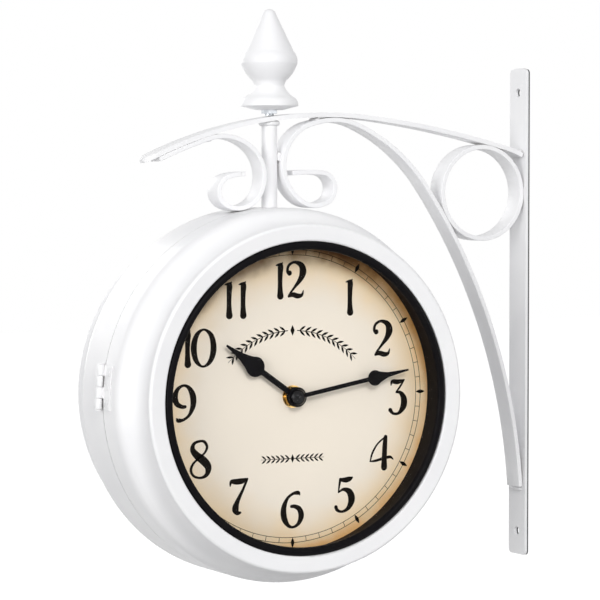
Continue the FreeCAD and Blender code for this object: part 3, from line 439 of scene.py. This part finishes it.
@dataclass(frozen=True)
class Metal:
    """Bare metal with fine turning or rolling marks and small stains."""

    name: str
    colour: Colour
    stain: Colour
    roughness: float
    cloud_size: float = 3.0
    stain_share: float = 0.7
    # Size and depth of the marks, how they are stretched, and what they do to the roughness.
    marks: Range = (0.9, 0.006)
    stretch: tuple[float, float, float] = (1.0, 8.0, 1.0)
    swing: Range = (-0.07, 0.10)

    def material(self) -> bpy.types.Material:
        """Build the metal."""
        graph = ShaderGraph(self.name)
        cloud = graph.spread(graph.grain(self.cloud_size, 4.0), 0.0, self.stain_share)
        coat = graph.blend(cloud, self.colour, self.stain)
        size, depth = self.marks
        marks = graph.grain(size, 3.0, self.stretch)
        gloss = graph.spread(marks, *(self.roughness + change for change in self.swing))
        return graph.finish({"Base Color": coat, "Metallic": 1.0, "Roughness": gloss,
                             "Normal": graph.bump(marks, depth)})


@dataclass(frozen=True)
class Moulded:
    """Plastic or rubber with the fine grain of its mould."""

    name: str
    colour: Colour
    second: Colour
    roughness: float
    grain_size: float = 0.45
    grain_depth: float = 0.02
    cloud_size: float = 8.0
    # What the grain does to the roughness.
    swing: Range = (-0.05, 0.08)

    def material(self) -> bpy.types.Material:
        """Build the plastic or rubber."""
        graph = ShaderGraph(self.name)
        cloud = graph.spread(graph.grain(self.cloud_size, 3.0), 0.0, 1.0)
        coat = graph.blend(cloud, self.colour, self.second)
        spark = graph.grain(self.grain_size)
        gloss = graph.spread(spark, *(self.roughness + change for change in self.swing))
        return graph.finish({"Base Color": coat, "Roughness": gloss,
                             "Normal": graph.bump(spark, self.grain_depth)})


@dataclass(frozen=True)
class BatterySleeve:
    """Printed sleeve of a dry cell: two plain bands of colour."""

    name: str = "battery_sleeve"
    body: Colour = paint("2F5D50")
    band: Colour = paint("D8D3C4")
    # Where the second band starts and is full, right of the dial's centre.
    band_reach: Range = (10.0, 10.4)
    # Size and depth of the sleeve's creases.
    crease: Range = (2.5, 0.02)
    gloss_size: float = 4.0
    gloss: Range = (0.28, 0.4)
    coat: float = 0.3

    def material(self) -> bpy.types.Material:
        """Build the sleeve."""
        graph = ShaderGraph(self.name)
        along = graph.add("SeparateXYZ", {0: graph.place()}).outputs["X"]
        start, end = (CLOCK_CENTRE.x + spot * MM for spot in self.band_reach)
        second = graph.add("MapRange", {"Value": along, "From Min": start, "From Max": end})
        coat = graph.blend(second.outputs["Result"], self.body, self.band)
        size, depth = self.crease
        crease = graph.bump(graph.grain(size, 3.0), depth)
        gloss = graph.spread(graph.grain(self.gloss_size), *self.gloss)
        return graph.finish({"Base Color": coat, "Roughness": gloss, "Normal": crease,
                             "Coat Weight": self.coat})


@dataclass(frozen=True)
class StudioSurface:
    """Pale floor, which the camera, gloss and glass see as plain white apart from shadows."""

    name: str = "studio_floor"
    colour: Colour = paint("B4B4B4")
    lift: float = 0.86

    def material(self) -> bpy.types.Material:
        """Build the floor's material."""
        graph = ShaderGraph(self.name)
        rays = graph.add("LightPath").outputs
        seen = rays["Is Camera Ray"]
        for name in ("Is Glossy Ray", "Is Transmission Ray"):
            seen = graph.add("Math", {0: seen, 1: rays[name]}, operation="MAXIMUM").outputs[0]
        glow = graph.add("Math", {0: seen, 1: self.lift}, operation="MULTIPLY")
        light = graph.add("Emission", {"Strength": glow.outputs[0]})
        matt = graph.add("BsdfDiffuse", {"Color": self.colour})
        both = graph.add("AddShader", {0: matt.outputs[0], 1: light.outputs[0]})
        graph.add("OutputMaterial", {"Surface": both.outputs[0]})
        return graph.material


class Finishes:
    """One material for each slot of the record, and those of the printing and of some nodes."""

    def __init__(self) -> None:
        """Build all the materials once."""
        self.by_slot: dict[Slot, bpy.types.Material] = {
            Slot.WHITE_PAINT: PowderCoat().material(),
            Slot.BLACK_PAINT: BlackLacquer().material(),
            Slot.DIAL_PRINT: DialPaper().material(),
            Slot.LENS_GLASS: ClearGlass().material(),
            Slot.ZINC_STEEL: Metal("zinc_plate", paint("C3C6CA"), paint("9EA3A8"),
                                   roughness=0.32).material(),
            Slot.BRASS: Metal("turned_brass", paint("E4C383"), paint("BC9650"),
                              roughness=0.26).material(),
            Slot.BLACK_PLASTIC: Moulded("moulded_plastic", paint("1B1B1C"), paint("262628"),
                                        roughness=0.45).material(),
            Slot.BLACK_RUBBER: Moulded("seam_rubber", paint("232324"), paint("303030"),
                                       roughness=0.7, grain_size=0.9).material(),
            Slot.BATTERY_WRAP: BatterySleeve().material(),
        }
        self.by_node: dict[str, bpy.types.Material] = {
            # The wall plate carries a painted shadow along its edge and back next to the wall.
            "wall_plate": PowderCoat("plate_powder_coat", wall_shadow_band=1.1).material(),
        }
        cap = BlackLacquer("cap_lacquer", shine=0.2, gloss=(0.08, 0.14)).material()
        self.by_node.update({side.value + "_cap_nut": cap for side in Side})
        self.ink = PrintingInk().material()

    def dress(self, item: bpy.types.Object, material: bpy.types.Material) -> None:
        """Give an object one material in place of all it had."""
        item.data.materials.clear()
        item.data.materials.append(material)
        for face in item.data.polygons:
            face.material_index = 0


# ------------------------------------------------------------------ mesh helpers


def new_piece(name: str, mesh: bmesh.types.BMesh, body: str,
              material: bpy.types.Material) -> bpy.types.Object:
    """Turn a mesh, already in the row frame, into a piece that rides on a body.

    Args:
        name: The piece's name.
        mesh: Its mesh, which is used up.
        body: The CAD body that it rides on.
        material: Its material.

    Returns:
        The new object.
    """
    bmesh.ops.recalc_face_normals(mesh, faces=mesh.faces)
    data = bpy.data.meshes.new(name)
    mesh.to_mesh(data)
    mesh.free()
    item = bpy.data.objects.new(name, data)
    bpy.context.scene.collection.objects.link(item)
    data.materials.append(material)
    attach(item, body)
    return item


def smooth_run(stations: list[Station], closed: bool, steps: int) -> list[Station]:
    """Lead a smooth curve through stations.

    Args:
        stations: Right, up and half width at each station.
        closed: Whether the last station leads back to the first.
        steps: How many steps there are between two stations.

    Returns:
        The stations along the curve.
    """
    count = len(stations)
    run: list[Station] = []
    for number in range(count if closed else count - 1):
        if closed:
            near = [Vector(stations[(number + k - 1) % count]) for k in range(4)]
        else:
            near = [Vector(stations[min(max(number + k - 1, 0), count - 1)]) for k in range(4)]
        for step in range(steps):
            t = step / steps
            out = (near[1] * 2 + (near[2] - near[0]) * t
                   + (near[0] * 2 - near[1] * 5 + near[2] * 4 - near[3]) * t * t
                   + (near[1] * 3 - near[0] - near[2] * 3 + near[3]) * t * t * t) / 2
            run.append(tuple(out))
    if not closed:
        run.append(tuple(stations[-1]))
    return run


class InkSheet:
    """Flat printed shapes of one dial, as very thin closed solids on the dial's face."""

    steps: int = 7
    layer: float = 0.03
    # Shapes that cross have different heights: how much they differ, and after how many it repeats.
    layer_step: float = 0.0006
    layer_count: int = 20
    cap_turns: tuple[int, ...] = (30, 58, 80)

    def __init__(self, face: float) -> None:
        """Start an empty print.

        Args:
            face: How far the dial's face lies out from the rod's axis, in millimetres.
        """
        self.mesh = bmesh.new()
        self.face = face
        self.count = 0

    def strip(self, left: list[Point], right: list[Point], closed: bool = False) -> None:
        """Add the solid between two edges that run side by side.

        Args:
            left: The points of one edge.
            right: The points of the other edge.
            closed: Whether the edges run round and meet themselves.
        """
        self.count += 1
        top = self.face + self.layer + self.layer_step * (self.count % self.layer_count)
        rows = []
        for (lx, ly), (rx, ry) in zip(left, right):
            rows.append([self.mesh.verts.new(corner) for corner in
                         ((lx, ly, self.face), (lx, ly, top), (rx, ry, top), (rx, ry, self.face))])
        pairs = list(zip(rows, rows[1:])) + ([(rows[-1], rows[0])] if closed else [])
        for near, far in pairs:
            for edge in range(4):
                follow = (edge + 1) % 4
                self.mesh.faces.new((near[edge], near[follow], far[follow], far[edge]))
        if not closed:
            self.mesh.faces.new(rows[0])
            self.mesh.faces.new(rows[-1])

    def stroke(self, stations: list[Station], closed: bool = False,
               shift: Point = (0.0, 0.0)) -> None:
        """Add a pen stroke whose width changes along it, with rounded ends.

        Args:
            stations: Right, up and half width at each station.
            closed: Whether the stroke runs round.
            shift: How far the stroke is moved.
        """
        run = smooth_run(stations, closed, self.steps)
        left, right = [], []
        count = len(run)
        for number, (x, y, half) in enumerate(run):
            before = run[(number - 1) % count if closed else max(number - 1, 0)]
            after = run[(number + 1) % count if closed else min(number + 1, count - 1)]
            along = Vector((after[0] - before[0], after[1] - before[1])).normalized()
            across = Vector((-along.y, along.x))
            ends = [(Vector((x, y)), half)]
            if not closed and number in (0, count - 1):
                way = -1.0 if number == 0 else 1.0
                turns = [math.radians(angle) for angle in self.cap_turns]
                cap = [(Vector((x, y)) + along * way * half * math.sin(a), half * math.cos(a))
                       for a in turns]
                ends = cap[::-1] + ends if number == 0 else ends + cap
            for centre, width in ends:
                for edge, sign in ((left, 1.0), (right, -1.0)):
                    spot = centre + across * width * sign
                    edge.append((spot.x + shift[0], spot.y + shift[1]))
        self.strip(left, right, closed)

    def circle(self, radius: float, width: float, count: int = 240) -> None:
        """Add a fine circle about the dial's centre."""
        turns = [math.tau * number / count for number in range(count)]
        edges = [[(r * math.sin(t), r * math.cos(t)) for t in turns]
                 for r in (radius - width / 2, radius + width / 2)]
        self.strip(edges[0], edges[1], closed=True)

    def radial(self, angle: float, start: float, end: float, halves: Iterable[float]) -> None:
        """Add a shape along a radius, as wide as halves say at even steps from start to end.

        Args:
            angle: Degrees clockwise from twelve.
            start: The radius where it starts.
            end: The radius where it ends.
            halves: Half widths in order.
        """
        out = Vector((math.sin(math.radians(angle)), math.cos(math.radians(angle))))
        across = Vector((out.y, -out.x))
        halves = list(halves)
        left, right = [], []
        for number, half in enumerate(halves):
            spot = out * (start + (end - start) * number / (len(halves) - 1))
            left.append(tuple(spot - across * half))
            right.append(tuple(spot + across * half))
        self.strip(left, right)

    def piece(self, name: str, side: Side, material: bpy.types.Material) -> bpy.types.Object:
        """Put the print on its dial.

        Args:
            name: The piece's name, without the side's.
            side: The dial that it is on.
            material: The ink.

        Returns:
            The new piece.
        """
        self.mesh.transform(side.axes)
        label = side.value + "_" + name
        return new_piece(label, self.mesh, side.body, material)


# ------------------------------------------------------------------ dial printing

ONE = [[(-2.6, 9.7, 0.35), (-0.6, 9.9, 1.0), (0.5, 9.0, 1.7), (0.3, 4.0, 1.5), (0.2, -3.0, 1.4),
        (0.3, -8.0, 1.7), (0.4, -10.2, 2.0)],
       [(-1.0, 9.6, 0.5), (1.0, 10.4, 0.8), (1.9, 11.2, 0.4)]]
SIX = [[(5.3, 9.8, 0.5), (4.2, 10.9, 1.2), (0.6, 10.6, 0.8), (-3.6, 7.6, 0.9), (-6.2, 1.6, 1.6),
        (-6.0, -4.8, 1.8), (-3.2, -9.8, 1.1), (0.6, -11.3, 0.7), (4.6, -9.0, 1.1),
        (6.5, -4.2, 1.7), (5.2, 0.2, 1.5), (1.8, 2.2, 1.1), (-0.6, 2.3, 0.9)]]
# Each numeral is a set of pen strokes: right, up and half width, in millimetres.
STROKES: dict[str, list[list[Station]]] = {
    "0": [[(0.2, 11.8, 0.6), (-4.8, 8.4, 1.3), (-7.0, 0.6, 1.8), (-5.4, -7.8, 1.4),
           (-0.6, -11.9, 0.6), (4.6, -8.6, 1.3), (7.0, -0.8, 1.8), (5.4, 7.8, 1.4)]],
    "1": ONE,
    "2": [[(-4.6, 4.6, 1.5), (-6.0, 6.0, 0.9), (-5.0, 9.6, 0.8), (-1.0, 11.6, 0.8),
           (3.8, 9.8, 1.6), (5.3, 5.6, 2.1), (3.6, 0.8, 1.5), (-0.4, -4.2, 0.8),
           (-3.8, -8.2, 0.6), (-5.2, -10.4, 0.6)],
          [(-5.2, -10.8, 0.5), (-2.2, -9.5, 1.3), (1.4, -10.4, 1.4), (4.4, -9.8, 0.9),
           (5.6, -7.0, 0.3)]],
    "3": [[(-4.8, 7.8, 0.3), (-3.8, 10.2, 1.1), (-0.4, 9.9, 1.4), (3.0, 10.4, 1.0), (5.2, 11.2, 0.4)],
          [(4.9, 10.8, 0.5), (2.0, 6.6, 0.6), (-0.8, 3.2, 0.5)],
          [(-0.8, 3.0, 0.5), (2.4, 2.6, 1.1), (4.9, -1.4, 1.9), (4.6, -6.4, 1.9),
           (1.2, -10.8, 0.9), (-3.0, -11.0, 0.8), (-5.4, -8.6, 1.2)]],
    "4": [[(2.9, 10.4, 1.2), (2.4, 5.0, 1.5), (2.0, -3.0, 1.6), (1.8, -9.6, 1.9)],
          [(2.6, 10.4, 0.5), (-3.0, 6.2, 0.5), (-7.0, 0.2, 0.6), (-8.6, -5.0, 0.4)],
          [(-8.8, -5.3, 0.35), (-4.6, -5.0, 0.7), (2.0, -3.6, 0.8), (6.4, -3.0, 0.8), (8.6, -4.6, 0.3)]],
    "5": [[(-3.0, 9.8, 0.9), (1.0, 9.6, 1.5), (4.0, 10.2, 1.3), (5.8, 11.0, 0.5)],
          [(-3.1, 10.2, 0.8), (-3.9, 6.0, 0.6), (-4.5, 1.6, 0.4)],
          [(-4.4, 1.6, 0.4), (-0.8, 3.4, 0.9), (3.6, 1.6, 1.8), (5.3, -3.4, 2.1),
           (3.0, -8.8, 1.3), (-1.4, -11.2, 0.7), (-5.2, -10.2, 0.9), (-6.4, -8.0, 1.1)]],
    "6": SIX,
    "7": [[(-6.2, 6.8, 0.3), (-5.2, 9.6, 1.1), (-1.4, 9.5, 1.6), (2.6, 9.9, 1.5), (6.2, 11.0, 0.6)],
          [(5.9, 10.4, 0.7), (2.8, 3.8, 0.8), (-0.8, -3.0, 1.3), (-2.4, -8.0, 2.0),
           (-1.0, -10.6, 1.4), (1.2, -10.6, 0.6)]],
    "8": [[(0.4, 11.6, 0.7), (-4.0, 10.2, 0.9), (-5.2, 6.4, 1.5), (-2.4, 2.6, 2.0),
           (2.6, -1.2, 2.3), (5.8, -5.4, 2.0), (4.8, -10.0, 1.2), (0.8, -12.0, 0.7),
           (-4.2, -10.8, 0.7), (-6.4, -7.0, 0.8), (-4.8, -2.8, 0.7), (-0.6, 0.8, 0.5),
           (3.4, 4.0, 0.6), (5.0, 7.6, 0.8), (3.4, 10.8, 0.8)]],
    "9": [[(-x, -y, half) for x, y, half in stroke] for stroke in SIX],
}
# The figures whose one stroke runs round and meets itself.
CLOSED_FIGURES = "08"
# The leaves and the lozenge of a sprig: distance along them and half width there.
LEAF = ((0.0, 0.1), (1.4, 0.55), (2.8, 0.75), (4.2, 0.45), (5.2, 0.08))
LOZENGE = ((-3.4, 0.06), (-1.6, 0.9), (0.0, 1.45), (1.6, 0.9), (3.4, 0.06))


@dataclass(frozen=True)
class HourNumeral:
    """One hour's number and where its middle stands on the dial."""

    text: str
    right: float
    up: float
    # How far left and right of the middle the figures of 10 and 12 stand, and those of 11.
    apart: Point = (-8.352, 3.248)
    ones_apart: Point = (-5.0, 5.0)
    weight: float = 1.2

    def ink(self, sheet: InkSheet) -> None:
        """Draw the number's figures side by side.

        Args:
            sheet: The print that it is added to.
        """
        offsets = (0.0,)
        if len(self.text) == 2:
            offsets = self.ones_apart if self.text == "11" else self.apart
        for figure, offset in zip(self.text, offsets):
            for stations in STROKES[figure]:
                stroke = [(right, up, half * self.weight) for right, up, half in stations]
                sheet.stroke(stroke, figure in CLOSED_FIGURES, (self.right + offset, self.up))


HOURS = (HourNumeral("12", -0.9, 75.7), HourNumeral("1", 42.1, 64.1), HourNumeral("2", 66.6, 35.9),
         HourNumeral("3", 78.1, -3.0), HourNumeral("4", 66.3, -39.8), HourNumeral("5", 38.4, -66.0),
         HourNumeral("6", -0.2, -74.1), HourNumeral("7", -39.0, -63.2),
         HourNumeral("8", -66.6, -37.9), HourNumeral("9", -77.6, -1.6),
         HourNumeral("10", -67.1, 33.3), HourNumeral("11", -41.0, 63.8))


@dataclass
class DialPrint:
    """The printing on one dial: hours, minute track and two sprigs of leaves."""

    side: Side
    finishes: Finishes
    face: float = 33.5
    outer_line: float = 95.5
    inner_line: float = 92.1
    line_width: float = 0.36
    # Each hour's lozenge: how far it reaches to both sides of the outer line, and its half widths.
    mark_reach: float = 3.4
    mark_halves: tuple[float, ...] = (0.05, 0.837, 1.35, 0.837, 0.05)
    arc_up: float = -21.5
    arc_radius: float = 64.5
    arc_spread: float = 46.0
    arc_leaves: int = 11
    low_sprig_up: float = -40.5
    low_sprig_reach: float = 23.0
    low_sprig_leaves: int = 6
    low_sprig_size: float = 0.8
    # A stem's shares of its reach, and its half width at its root and how much of it goes.
    stem_shares: tuple[float, ...] = (0.07, 0.3, 0.55, 0.8, 1.0)
    stem_half: float = 0.32
    stem_taper: float = 0.2
    # Where the first and the last pair of leaves stand, and how far a leaf leans off the stem.
    leaf_from: float = 0.1
    leaf_span: float = 0.88
    leaf_lean: float = 38.0

    def build(self) -> None:
        """Print the dial."""
        self._hours()
        self._minute_track()
        self._sprigs()
        log.info("%s dial printing: hours, minute track and sprigs", self.side.value)

    def _hours(self) -> None:
        """Print the twelve numbers."""
        sheet = InkSheet(self.face)
        for hour in HOURS:
            hour.ink(sheet)
        sheet.piece("hour_numerals", self.side, self.finishes.ink)

    def _minute_track(self) -> None:
        """Print two circles with a tick for each minute and a lozenge for each hour."""
        sheet = InkSheet(self.face)
        for radius in (self.outer_line, self.inner_line):
            sheet.circle(radius, self.line_width)
        for minute in range(60):
            half = self.line_width / 2
            sheet.radial(minute * 6.0, self.inner_line, self.outer_line, (half, half))
        start, end = self.outer_line - self.mark_reach, self.outer_line + self.mark_reach
        for hour in range(12):
            sheet.radial(hour * 30.0, start, end, self.mark_halves)
        sheet.piece("minute_track", self.side, self.finishes.ink)

    def _sprigs(self) -> None:
        """Print a bowed sprig above the hands and a straight one below them."""
        sheet = InkSheet(self.face)
        self._sprig(sheet, self._bow, self.arc_spread, self.arc_leaves, 1.0)
        self._sprig(sheet, self._level, self.low_sprig_reach, self.low_sprig_leaves,
                    self.low_sprig_size)
        sheet.piece("sprigs", self.side, self.finishes.ink)

    def _bow(self, along: float) -> tuple[Vector, float]:
        """The place and heading at an angle along the upper sprig's bow."""
        turn = math.radians(along)
        spot = Vector((math.sin(turn), math.cos(turn))) * self.arc_radius
        return spot + Vector((0, self.arc_up)), -turn

    def _level(self, along: float) -> tuple[Vector, float]:
        """The place and heading at a distance along the lower sprig."""
        return Vector((along, self.low_sprig_up)), 0.0

    def _sprig(self, sheet: InkSheet, path: Callable[[float], tuple[Vector, float]], reach: float,
               leaves: int, size: float) -> None:
        """Draw two stems that lead out from a lozenge in the middle, with leaves in pairs.

        Args:
            sheet: The print that it is added to.
            path: Gives the place and heading at a distance along the sprig.
            reach: How far the sprig goes each way along its path.
            leaves: How many pairs of leaves each stem has.
            size: How many times larger than usual the leaves are.
        """
        for way in (-1.0, 1.0):
            sheet.stroke([(*path(way * reach * share)[0], self.stem_half - self.stem_taper * share)
                          for share in self.stem_shares])
            for number in range(leaves):
                share = self.leaf_from + self.leaf_span * number / leaves
                root, heading = path(way * reach * share)
                for lean in (self.leaf_lean, -self.leaf_lean):
                    angle = heading + math.radians(lean) + (0.0 if way > 0 else math.pi)
                    out = Vector((math.cos(angle), math.sin(angle)))
                    sheet.stroke([(*(root + out * span * size), half * size) for span, half in LEAF])
        middle, heading = path(0.0)
        up = Vector((-math.sin(heading), math.cos(heading)))
        sheet.stroke([(*(middle + up * span * size), half * size) for span, half in LOZENGE])


# ------------------------------------------------------------------ bracket


@dataclass
class WeldBeads:
    """The welds of the bracket: rippled beads across the straps and round the rod."""

    finishes: Finishes
    body: str = "bracket_and_rear_case"
    rod_right: float = -195.0
    bead: float = 1.7
    across: float = 12.8
    rod_radius: float = 5.25
    # How far the beads along the rod stand out from it, and their depth and length over its radius.
    rod_bead_out: float = 0.4
    rod_bead_depth: float = 0.6
    rod_bead_length: float = 1.1
    # Points round a bead and steps along it.
    sides: int = 14
    steps: int = 22
    collar_steps: int = 48
    # How square a bead's ends are, and the least share of its radius that is left there, squared.
    end_power: int = 6
    end_least: float = 0.04
    # Share and turn of the ripples, and share and fineness of the lumps.
    ripple: float = 0.07
    ripple_turn: float = 2.1
    lump: float = 0.18
    lump_scale: float = 0.35
    # Right of the rod's axis and height of each bead across the straps.
    spots: tuple[Point, ...] = ((190.8, 110.6), (191.4, -121.6), (191.4, 88.8), (191.4, 76.8),
                                (33.5, 131.0), (-45.6, 118.0), (162.4, 114.9), (172.4, 112.7),
                                (128.6, 70.6), (134.4, 61.0))
    # Side and foot height of each bead along the rod.
    rod_spots: tuple[Point, ...] = ((-1, 88.0), (1, 104.0))
    collar_height: float = 128.9
    # Where the lumps of the rod's beads and of its collar are counted from.
    rod_seed: int = 20
    collar_seed: int = 31

    def build(self) -> None:
        """Lay all the beads and let them stand for the plain ones."""
        mesh = bmesh.new()
        for number, (right, up) in enumerate(self.spots):
            centre = Vector((self.rod_right + right, 0.0, up))
            half = Vector((0, self.across / 2, 0))
            self._bead(mesh, [centre - half, centre + half], number)
        for number, (side, up) in enumerate(self.rod_spots):
            foot = Vector((self.rod_right + side * (self.rod_radius + self.rod_bead_out),
                           -self.rod_radius * self.rod_bead_depth, up))
            top = foot + Vector((0, 0, self.rod_radius * self.rod_bead_length))
            self._bead(mesh, [foot, top], self.rod_seed + number)
        turns = [math.tau * step / self.collar_steps for step in range(self.collar_steps)]
        ring = [Vector((self.rod_right + math.cos(turn) * self.rod_radius,
                        math.sin(turn) * self.rod_radius, self.collar_height)) for turn in turns]
        self._bead(mesh, ring, self.collar_seed, closed=True)
        mesh.transform(Matrix.Scale(MM, 4))
        material = self.finishes.by_slot[Slot.WHITE_PAINT]
        piece = new_piece("painted_welds", mesh, self.body, material)
        for face in piece.data.polygons:
            face.use_smooth = True
        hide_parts("weld_beads")
        log.info("welds: %d beads and a collar", len(self.spots) + len(self.rod_spots))

    def _bead(self, mesh: bmesh.types.BMesh, path: list[Vector], seed: int, closed: bool = False) -> None:
        """Lay one bead with ripples and rounded ends along a path.

        Args:
            mesh: The mesh that it is added to, in millimetres.
            path: Two ends of a straight bead, or the points of a closed one.
            seed: Makes this bead's lumps its own.
            closed: Whether the bead runs round.
        """
        if not closed:
            start, end = path
            path = [start.lerp(end, step / self.steps) for step in range(self.steps + 1)]
        count = len(path)
        rings = []
        for number, centre in enumerate(path):
            along = (path[(number + 1) % count if closed else min(number + 1, count - 1)]
                     - path[number - 1 if closed else max(number - 1, 0)]).normalized()
            share = number / (count - 1)
            full = max(1 - (2 * share - 1) ** self.end_power, self.end_least)
            taper = 1.0 if closed else math.sqrt(full)
            ripple = 1 + self.ripple * math.sin(number * self.ripple_turn + seed)
            lump = noise.noise(centre * self.lump_scale + Vector((seed, 0, 0)))
            radius = self.bead * taper * ripple * (1 + self.lump * lump)
            first = along.orthogonal().normalized()
            second = along.cross(first)
            if closed:
                first, second = Vector((0, 0, 1)), along.cross(Vector((0, 0, 1)))
            turns = [math.tau * side / self.sides for side in range(self.sides)]
            edge = [(first * math.cos(turn) + second * math.sin(turn)) * radius for turn in turns]
            rings.append([mesh.verts.new(centre + out) for out in edge])
        pairs = list(zip(rings, rings[1:])) + ([(rings[-1], rings[0])] if closed else [])
        for near, far in pairs:
            for side in range(self.sides):
                follow = (side + 1) % self.sides
                mesh.faces.new((near[side], near[follow], far[follow], far[side]))
        if not closed:
            mesh.faces.new(rings[0])
            mesh.faces.new(rings[-1])


@dataclass
class CadNodes:
    """The nodes that stay as the CAD made them: each gets its finish, and those listed below get softened
    edges.
    """

    finishes: Finishes
    nodes: dict[str, bpy.types.Object]
    record: dict
    # Corners nearer than this are one, and edges sharper than this are rounded.
    same_corner: float = 0.002
    sharp_edge: float = 40.0
    # Edge rounding in millimetres for the pieces whose edges catch the light.
    edges: dict[str, float] = field(default_factory=lambda: {
        "wall_plate": 0.5, "arm_strap": 0.45, "brace_strap": 0.45, "left_scroll": 0.45,
        "bracket_ring": 0.45, "hinge_front_leaf": 0.2, "hinge_rear_leaf": 0.2,
        "front_minute_hand": 0.15, "rear_minute_hand": 0.15, "front_hour_hand": 0.15,
        "rear_hour_hand": 0.15, "front_movement_cover": 0.35, "rear_movement_cover": 0.35,
        "front_setting_knob": 0.3, "rear_setting_knob": 0.3})

    def build(self) -> None:
        """Dress every node by the record's slot for it."""
        slots = self._slots()
        for name, item in sorted(self.nodes.items()):
            material = self.finishes.by_node.get(name) or self.finishes.by_slot[Slot(slots[name])]
            self.finishes.dress(item, material)
            if name in self.edges:
                self._soften(item, self.edges[name])
            log.info("%s: %s", name, slots[name])

    def _slots(self) -> dict[str, str]:
        """The slot of each node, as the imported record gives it."""
        return {part["node"]: part["material_slot"] for part in self.record["subparts"]}

    def _soften(self, item: bpy.types.Object, width: float) -> None:
        """Round an object's sharp edges a little.

        Args:
            item: The object.
            width: How wide the rounding is, in millimetres.
        """
        weld = item.modifiers.new("joined_corners", "WELD")
        weld.merge_threshold = self.same_corner * MM
        bevel = item.modifiers.new("soft_edges", "BEVEL")
        bevel.width = width * MM
        bevel.segments = 2
        bevel.limit_method = "ANGLE"
        bevel.angle_limit = math.radians(self.sharp_edge)
        bevel.harden_normals = True


# ------------------------------------------------------------------ studio


@dataclass(frozen=True)
class AreaLamp:
    """A soft box: where it hangs, where it aims, how wide it is and how strong."""

    name: str
    place: tuple[float, float, float]
    aim: tuple[float, float, float]
    size: float
    power: float

    def build(self) -> None:
        """Hang the lamp."""
        data = bpy.data.lights.new(self.name, "AREA")
        data.shape = "DISK"
        data.size = self.size
        data.energy = self.power
        lamp = bpy.data.objects.new(self.name, data)
        lamp.location = self.place
        lamp.rotation_euler = (Vector(self.aim) - Vector(self.place)).to_track_quat("-Z", "Y").to_euler()
        bpy.context.scene.collection.objects.link(lamp)
        log.info("lamp %s", self.name)


@dataclass
class Studio:
    """White studio with a pale floor, soft lamps and the photograph's camera."""

    camera_place: tuple[float, float, float] = (-1.0250, -1.6488, 0.0924)
    camera_aim: tuple[float, float, float] = (-0.1722, 0.0, 0.0120)
    lens: float = 168.0
    sensor: float = 36.0
    floor_height: float = -0.36
    floor_reach: float = 6.0
    ambient: float = 0.45
    lamps: tuple[AreaLamp, ...] = (
        AreaLamp("high_key", (-0.7, -2.3, 1.15), (-0.2, 0.0, -0.05), 0.9, 27.0),
        AreaLamp("left_soft_box", (-2.5, -1.0, 0.25), (-0.2, 0.0, 0.0), 1.6, 26.0),
        AreaLamp("right_soft_box", (1.0, -2.3, 0.2), (-0.2, 0.0, -0.05), 1.2, 5.0),
        AreaLamp("rear_soft_box", (-0.5, 2.4, 0.6), (-0.2, 0.0, -0.05), 1.4, 14.0),
    )

    def build(self) -> None:
        """Set up the background, floor, lamps and camera."""
        self._world()
        self._floor()
        for lamp in self.lamps:
            lamp.build()
        self._camera()
        bpy.context.scene.view_settings.view_transform = "Standard"

    def _world(self) -> None:
        """Even pale light, which the camera, gloss and glass see as white."""
        world = bpy.data.worlds.new("white_studio")
        bpy.context.scene.world = world
        world.use_nodes = True
        tree = world.node_tree
        tree.nodes.clear()
        rays = tree.nodes.new("ShaderNodeLightPath").outputs
        seen = rays["Is Camera Ray"]
        for name in ("Is Glossy Ray", "Is Transmission Ray"):
            either = tree.nodes.new("ShaderNodeMath")
            either.operation = "MAXIMUM"
            tree.links.new(seen, either.inputs[0])
            tree.links.new(rays[name], either.inputs[1])
            seen = either.outputs[0]
        shades = []
        for strength in (self.ambient, 1.0):
            shade = tree.nodes.new("ShaderNodeBackground")
            shade.inputs["Color"].default_value = (1.0, 1.0, 1.0, 1.0)
            shade.inputs["Strength"].default_value = strength
            shades.append(shade.outputs[0])
        mixed = tree.nodes.new("ShaderNodeMixShader")
        tree.links.new(seen, mixed.inputs[0])
        tree.links.new(shades[0], mixed.inputs[1])
        tree.links.new(shades[1], mixed.inputs[2])
        out = tree.nodes.new("ShaderNodeOutputWorld")
        tree.links.new(mixed.outputs[0], out.inputs["Surface"])

    def _floor(self) -> None:
        """Lay the pale floor well below the clock, which hangs on a wall."""
        reach = self.floor_reach
        mesh = bpy.data.meshes.new("studio_floor")
        height = self.floor_height
        corners = [(right * reach, back * reach, height)
                   for right, back in ((-1, -1), (1, -1), (1, 1), (-1, 1))]
        mesh.from_pydata(corners, [], [(0, 1, 2, 3)])
        mesh.materials.append(StudioSurface().material())
        floor = bpy.data.objects.new("studio_floor", mesh)
        bpy.context.scene.collection.objects.link(floor)

    def _camera(self) -> None:
        """Stand the camera where the photograph was taken from."""
        data = bpy.data.cameras.new("photograph_view")
        data.sensor_width = self.sensor
        data.lens = self.lens
        camera = bpy.data.objects.new("photograph_view", data)
        camera.location = self.camera_place
        look = Vector(self.camera_aim) - Vector(self.camera_place)
        camera.rotation_euler = look.to_track_quat("-Z", "Y").to_euler()
        bpy.context.scene.collection.objects.link(camera)
        bpy.context.scene.camera = camera


def main() -> None:
    """Dress the clock, light it and set the camera."""
    logging.basicConfig(level=logging.INFO, format="%(name)s: %(message)s")
    finishes = Finishes()
    CadNodes(finishes, frame["nodes"], frame["record"]).build()
    WeldBeads(finishes).build()
    for side in Side:
        DialPrint(side, finishes).build()
    Studio().build()


if __name__ == "__main__":
    main()
